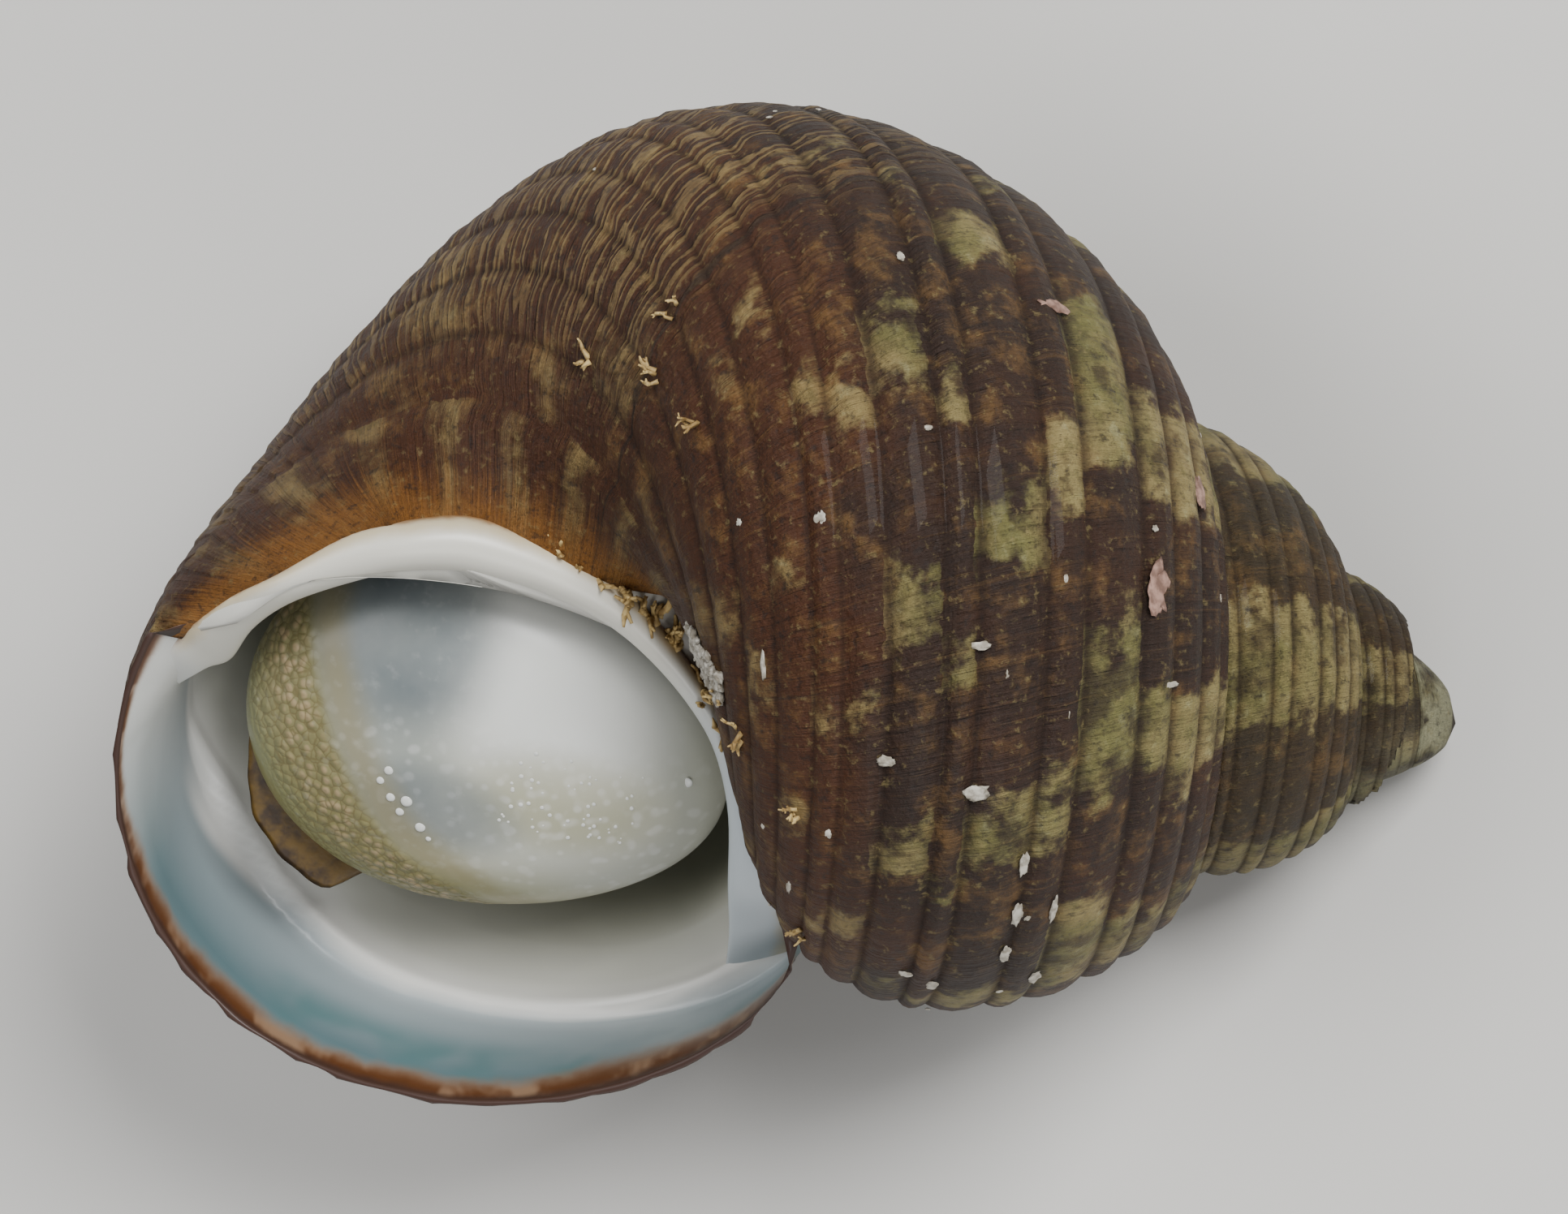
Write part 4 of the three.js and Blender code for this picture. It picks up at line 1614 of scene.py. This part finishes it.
@dataclass
class Growths:
    """Small growths on the skin: branched tufts, a grey crust, white flecks and pink crust."""

    growth: Growth
    lip: InnerLip
    seed: int = 11
    lip_tufts: tuple[float, ...] = (0.53, 0.57, 0.6, 0.64, 0.67, 0.72, 0.755, 0.765, 0.79)
    skin_tufts: tuple[tuple[float, float], ...] = (
        (-250.6, 2.63), (-190.6, 2.63), (-171.6, 2.56), (-243.1, 2.79),
        (-153, 2.9), (-176, 2.72), (-262, 2.3), (-296, 2.2),
    )
    crust_from: tuple[float, float] = (-229.6, 3.01)
    crust_to: tuple[float, float] = (-241.1, 2.78)
    flecks: tuple[tuple[float, float, float, float], ...] = (
        (-260.1, 1.56, 0.34, 0.5), (-253.1, 1.91, 0.2, 0.4), (-274.1, 1.34, 0.5, 0.2),
        (-284.1, 1.33, 0.6, 0.22), (-285.6, 1.18, 0.7, 0.16), (-293.6, 1.34, 0.55, 0.22),
        (-301.1, 1.6, 0.4, 0.3), (-240.1, 1.58, 0.16, 0.45), (-217.6, 2.16, 0.25, 0.25),
        (-305, 1.18, 0.5, 0.3), (-265, 2.13, 0.2, 0.2), (-252, 0.76, 0.12, 0.5),
        (-281, 2.3, 0.5, 0.14), (-236, 2.45, 0.6, 0.14), (-297, 1.72, 0.2, 0.3),
    )
    crust_lumps: int = 90
    stray: int = 34
    pink: tuple[tuple[float, float, float, float], ...] = (
        (-237, 0.84, 0.75, 0.45), (-220.1, 0.52, 0.5, 0.3), (-196, 1.2, 0.2, 0.5),
    )
    up: tuple[float, float, float] = (-0.5, 0.8, 0.1)
    lip_tuft: tuple[int, float] = (5, 1.6)
    skin_tuft: tuple[int, float] = (3, 0.95)
    twig_aside: float = 0.22
    twig_sizes: tuple[tuple[float, float], ...] = ((0.24, 0.42), (0.075, 0.11))
    twig_forks: int = 2

    @staticmethod
    def leaning(draw: random.Random, least: float, most: float) -> Matrix:
        """Draws a lean to any side, between two angles."""
        side = Matrix.Rotation(draw.uniform(0, TURN), 4, "Z")
        return side @ Matrix.Rotation(draw.uniform(least, most), 4, "Y")

    def twig(
        self,
        bm: bmesh.types.BMesh,
        base: Matrix,
        length: float,
        width: float,
        draw: random.Random,
        depth: int,
    ) -> None:
        """Grows a tapering twig with smaller ones at its end.

        Args:
            bm: The mesh.
            base: Where it stands.
            length: Its length.
            width: Its radius.
            draw: The random draws.
            depth: How many times it still forks.
        """
        ends = bmesh.ops.create_cone(
            bm, cap_ends=True, segments=5, radius1=width, radius2=width * 0.55, depth=length,
            matrix=base @ Matrix.Translation((0.0, 0.0, length / 2)),
        )["verts"]
        for vertex in ends:
            vertex.co += Vector([draw.uniform(-1, 1) for _ in range(3)]) * width * 0.25
        if depth == 0:
            return
        for _ in range(draw.choice((1, 2, 2))):
            lean = self.leaning(draw, 0.3, 0.95)
            tip = base @ Matrix.Translation((0.0, 0.0, length * draw.uniform(0.6, 0.95))) @ lean
            self.twig(bm, tip, length * draw.uniform(0.5, 0.85), width * 0.7, draw, depth - 1)

    def tufts(self) -> bpy.types.Object:
        """Builds the tan tufts.

        Returns:
            The object, riding on the part.
        """
        draw = random.Random(self.seed)
        bm = bmesh.new()
        spots = []
        up = (TO_FRAME.to_3x3() @ Vector(self.up)).to_track_quat("Z", "Y").to_matrix().to_4x4()
        for share in self.lip_tufts:
            spots.append((Matrix.Translation(self.lip.edge(share)) @ up, *self.lip_tuft))
        for degrees, angle in self.skin_tufts:
            spots.append((self.growth.spot(degrees, angle), *self.skin_tuft))
        for spot, count, size in spots:
            for _ in range(count):
                lean = self.leaning(draw, 0.2, 1.25)
                aside = Vector((draw.uniform(-1, 1), draw.uniform(-1, 1), -0.2)) * self.twig_aside * MM
                length, width = (draw.uniform(*span) * size * MM for span in self.twig_sizes)
                self.twig(bm, spot @ Matrix.Translation(aside) @ lean, length, width, draw, self.twig_forks)
        bmesh.ops.recalc_face_normals(bm, faces=bm.faces)
        finish = PlainFinish("tan_growth", "c9ae74", "8f7242").make()
        return add_piece(Growing.TUFT.value, bm, [finish])

    @staticmethod
    def blob(bm: bmesh.types.BMesh, spot: Matrix, size: tuple[float, float, float], salt: float) -> None:
        """Sets a lumpy flattened blob.

        Args:
            bm: The mesh.
            spot: Where it lies.
            size: Its half sizes in millimetres.
            salt: What makes its lumps differ from those of others.
        """
        made = bmesh.ops.create_icosphere(bm, subdivisions=3, radius=1.0)["verts"]
        for vertex in made:
            lump = noise.noise(vertex.co * 1.7 + Vector((salt, 0.0, 0.0)))
            fine = noise.noise(vertex.co * 4.5 + Vector((0.0, salt, 0.0)))
            place = vertex.co * (1 + 0.55 * lump + 0.22 * fine)
            vertex.co = spot @ Vector([part * half * MM for part, half in zip(place, size)])

    def white_flecks(self) -> bpy.types.Object:
        """Builds the white limy flecks.

        Returns:
            The object, riding on the part.
        """
        draw = random.Random(self.seed + 1)
        bm = bmesh.new()
        for number, (degrees, angle, along, across) in enumerate(self.flecks):
            size = (along * 0.75, across * 0.65, 0.035)
            self.blob(bm, self.growth.spot(degrees, angle), size, number * 3.7)
        for number in range(self.stray):
            spot = self.growth.spot(draw.uniform(-350, -60), draw.uniform(0.3, 2.6))
            size = (draw.uniform(0.05, 0.16), draw.uniform(0.04, 0.11), 0.03)
            self.blob(bm, spot, size, 50 + number * 2.9)
        bmesh.ops.recalc_face_normals(bm, faces=bm.faces)
        finish = PlainFinish("lime_fleck", "c6c0b2", "8f8778", 3500.0, 0.6).make()
        return add_piece(Growing.FLECK.value, bm, [finish])

    def pink_crust(self) -> bpy.types.Object:
        """Builds the thin pink crust.

        Returns:
            The object, riding on the part.
        """
        bm = bmesh.new()
        for number, (degrees, angle, along, across) in enumerate(self.pink):
            self.blob(bm, self.growth.spot(degrees, angle), (along, across, 0.05), 20 + number * 5.1)
        bmesh.ops.recalc_face_normals(bm, faces=bm.faces)
        finish = PlainFinish("pink_crust", "a58273", "6f5346", 3000.0, 0.65).make()
        return add_piece(Growing.PINK.value, bm, [finish])

    def grey_crust(self) -> bpy.types.Object:
        """Builds the grey crust beside the inner lip.

        Returns:
            The object, riding on the part.
        """
        draw = random.Random(self.seed + 2)
        bm = bmesh.new()
        for number in range(self.crust_lumps):
            share = number / (self.crust_lumps - 1)
            degrees, angle = (lerp(*ends, share) for ends in zip(self.crust_from, self.crust_to))
            spot = self.growth.spot(degrees, angle)
            aside = Matrix.Translation(Vector((draw.uniform(-1, 1), draw.uniform(-1, 1), 0.05)) * 0.5 * MM)
            size = draw.uniform(0.08, 0.2)
            self.blob(bm, spot @ aside, (size, size * 0.9, size * 0.75), 80 + number * 1.3)
        bmesh.ops.recalc_face_normals(bm, faces=bm.faces)
        finish = PlainFinish("grey_crust", "bdb8ac", "857d6e", 4000.0, 0.6).make()
        return add_piece(Growing.CRUST.value, bm, [finish])


@dataclass
class Studio:
    """Plain floor, soft lights and a camera at the angle from which the shell is seen."""

    floor_size: float = 1.2
    heading: float = math.radians(9.157)
    tilt: float = math.radians(11.782)
    aim: float = 23.95
    distance: float = 263.47
    lens: float = 204.97
    photo_width: float = 1932.0
    photo_shift: float = 62.4
    sky: tuple[float, float, float, float] = (0.9, 0.93, 1.0, 1.0)
    sky_strength: float = 0.28
    lowest_light: float = 0.08

    def axes(self) -> Matrix:
        """Gives the camera's right, up and back as columns.

        Returns:
            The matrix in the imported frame.
        """
        along = Vector((
            -math.cos(self.heading) * math.cos(self.tilt),
            math.sin(self.heading) * math.cos(self.tilt),
            math.sin(self.tilt),
        ))
        down = Vector((-math.sin(self.heading), -math.cos(self.heading), 0.0))
        across = (down - along * along.dot(down)).normalized()
        shell_axes = Matrix((across, along.cross(across), along))
        turned = TO_FRAME.to_3x3().normalized()
        return turned @ shell_axes

    def camera(self) -> None:
        """Sets the camera."""
        axes = self.axes()
        data = bpy.data.cameras.new("camera")
        data.lens = self.lens
        data.shift_x = self.photo_shift / self.photo_width
        data.clip_start = 0.01
        camera = bpy.data.objects.new("camera", data)
        middle = TO_FRAME @ Vector((0.0, 0.0, self.aim))
        camera.matrix_world = Matrix.Translation(middle + axes.col[2] * self.distance * MM) @ axes.to_4x4()
        bpy.context.scene.collection.objects.link(camera)
        bpy.context.scene.camera = camera

    def light(self, name: str, seen: tuple[float, float, float], size: float, power: float) -> None:
        """Hangs a soft light.

        Args:
            name: The light's name.
            seen: Its place as the camera sees it: right, up and towards the camera, in metres.
            size: The side of the light.
            power: Its power in watts.
        """
        data = bpy.data.lights.new(name, "AREA")
        data.size = size
        data.energy = power
        light = bpy.data.objects.new(name, data)
        middle = TO_FRAME @ Vector((0.0, 0.0, self.aim))
        place = self.axes() @ Vector(seen)
        place.z = max(place.z, self.lowest_light)
        turned = place.to_track_quat("Z", "Y").to_matrix().to_4x4()
        light.matrix_world = Matrix.Translation(middle + place) @ turned
        bpy.context.scene.collection.objects.link(light)

    def build(self) -> None:
        """Sets up the floor, the lights and the camera."""
        bm = bmesh.new()
        bmesh.ops.create_grid(bm, x_segments=1, y_segments=1, size=self.floor_size)
        mesh = bpy.data.meshes.new("floor")
        bm.to_mesh(mesh)
        bm.free()
        mesh.materials.append(PlainFinish("pale_floor", "d9d7d2", "d4d2cd", 30.0, 0.8).make())
        floor = bpy.data.objects.new("floor", mesh)
        bpy.context.scene.collection.objects.link(floor)
        world = bpy.data.worlds.new("studio")
        world.use_nodes = True
        background = world.node_tree.nodes["Background"]
        background.inputs[0].default_value = self.sky
        background.inputs[1].default_value = self.sky_strength
        bpy.context.scene.world = world
        self.light("key", (0.1, 0.15, 0.33), 0.16, 1.7)
        self.light("fill", (-0.3, 0.05, 0.25), 0.25, 0.65)
        self.light("front", (0.05, -0.28, 0.25), 0.2, 0.4)
        self.camera()


def main() -> None:
    """Builds the shell, its operculum, the growths and the studio."""
    logging.basicConfig(level=logging.INFO, format="%(name)s: %(message)s")
    lip = InnerLip()
    lip.build()
    shell = Shell(Growth(), lip)
    shell.build()
    operculum = Operculum()
    operculum.build()
    operculum.build_skirt()
    growths = Growths(shell.growth, lip)
    growths.tufts()
    growths.white_flecks()
    growths.pink_crust()
    growths.grey_crust()
    Studio().build()


if __name__ == "__main__":
    main()
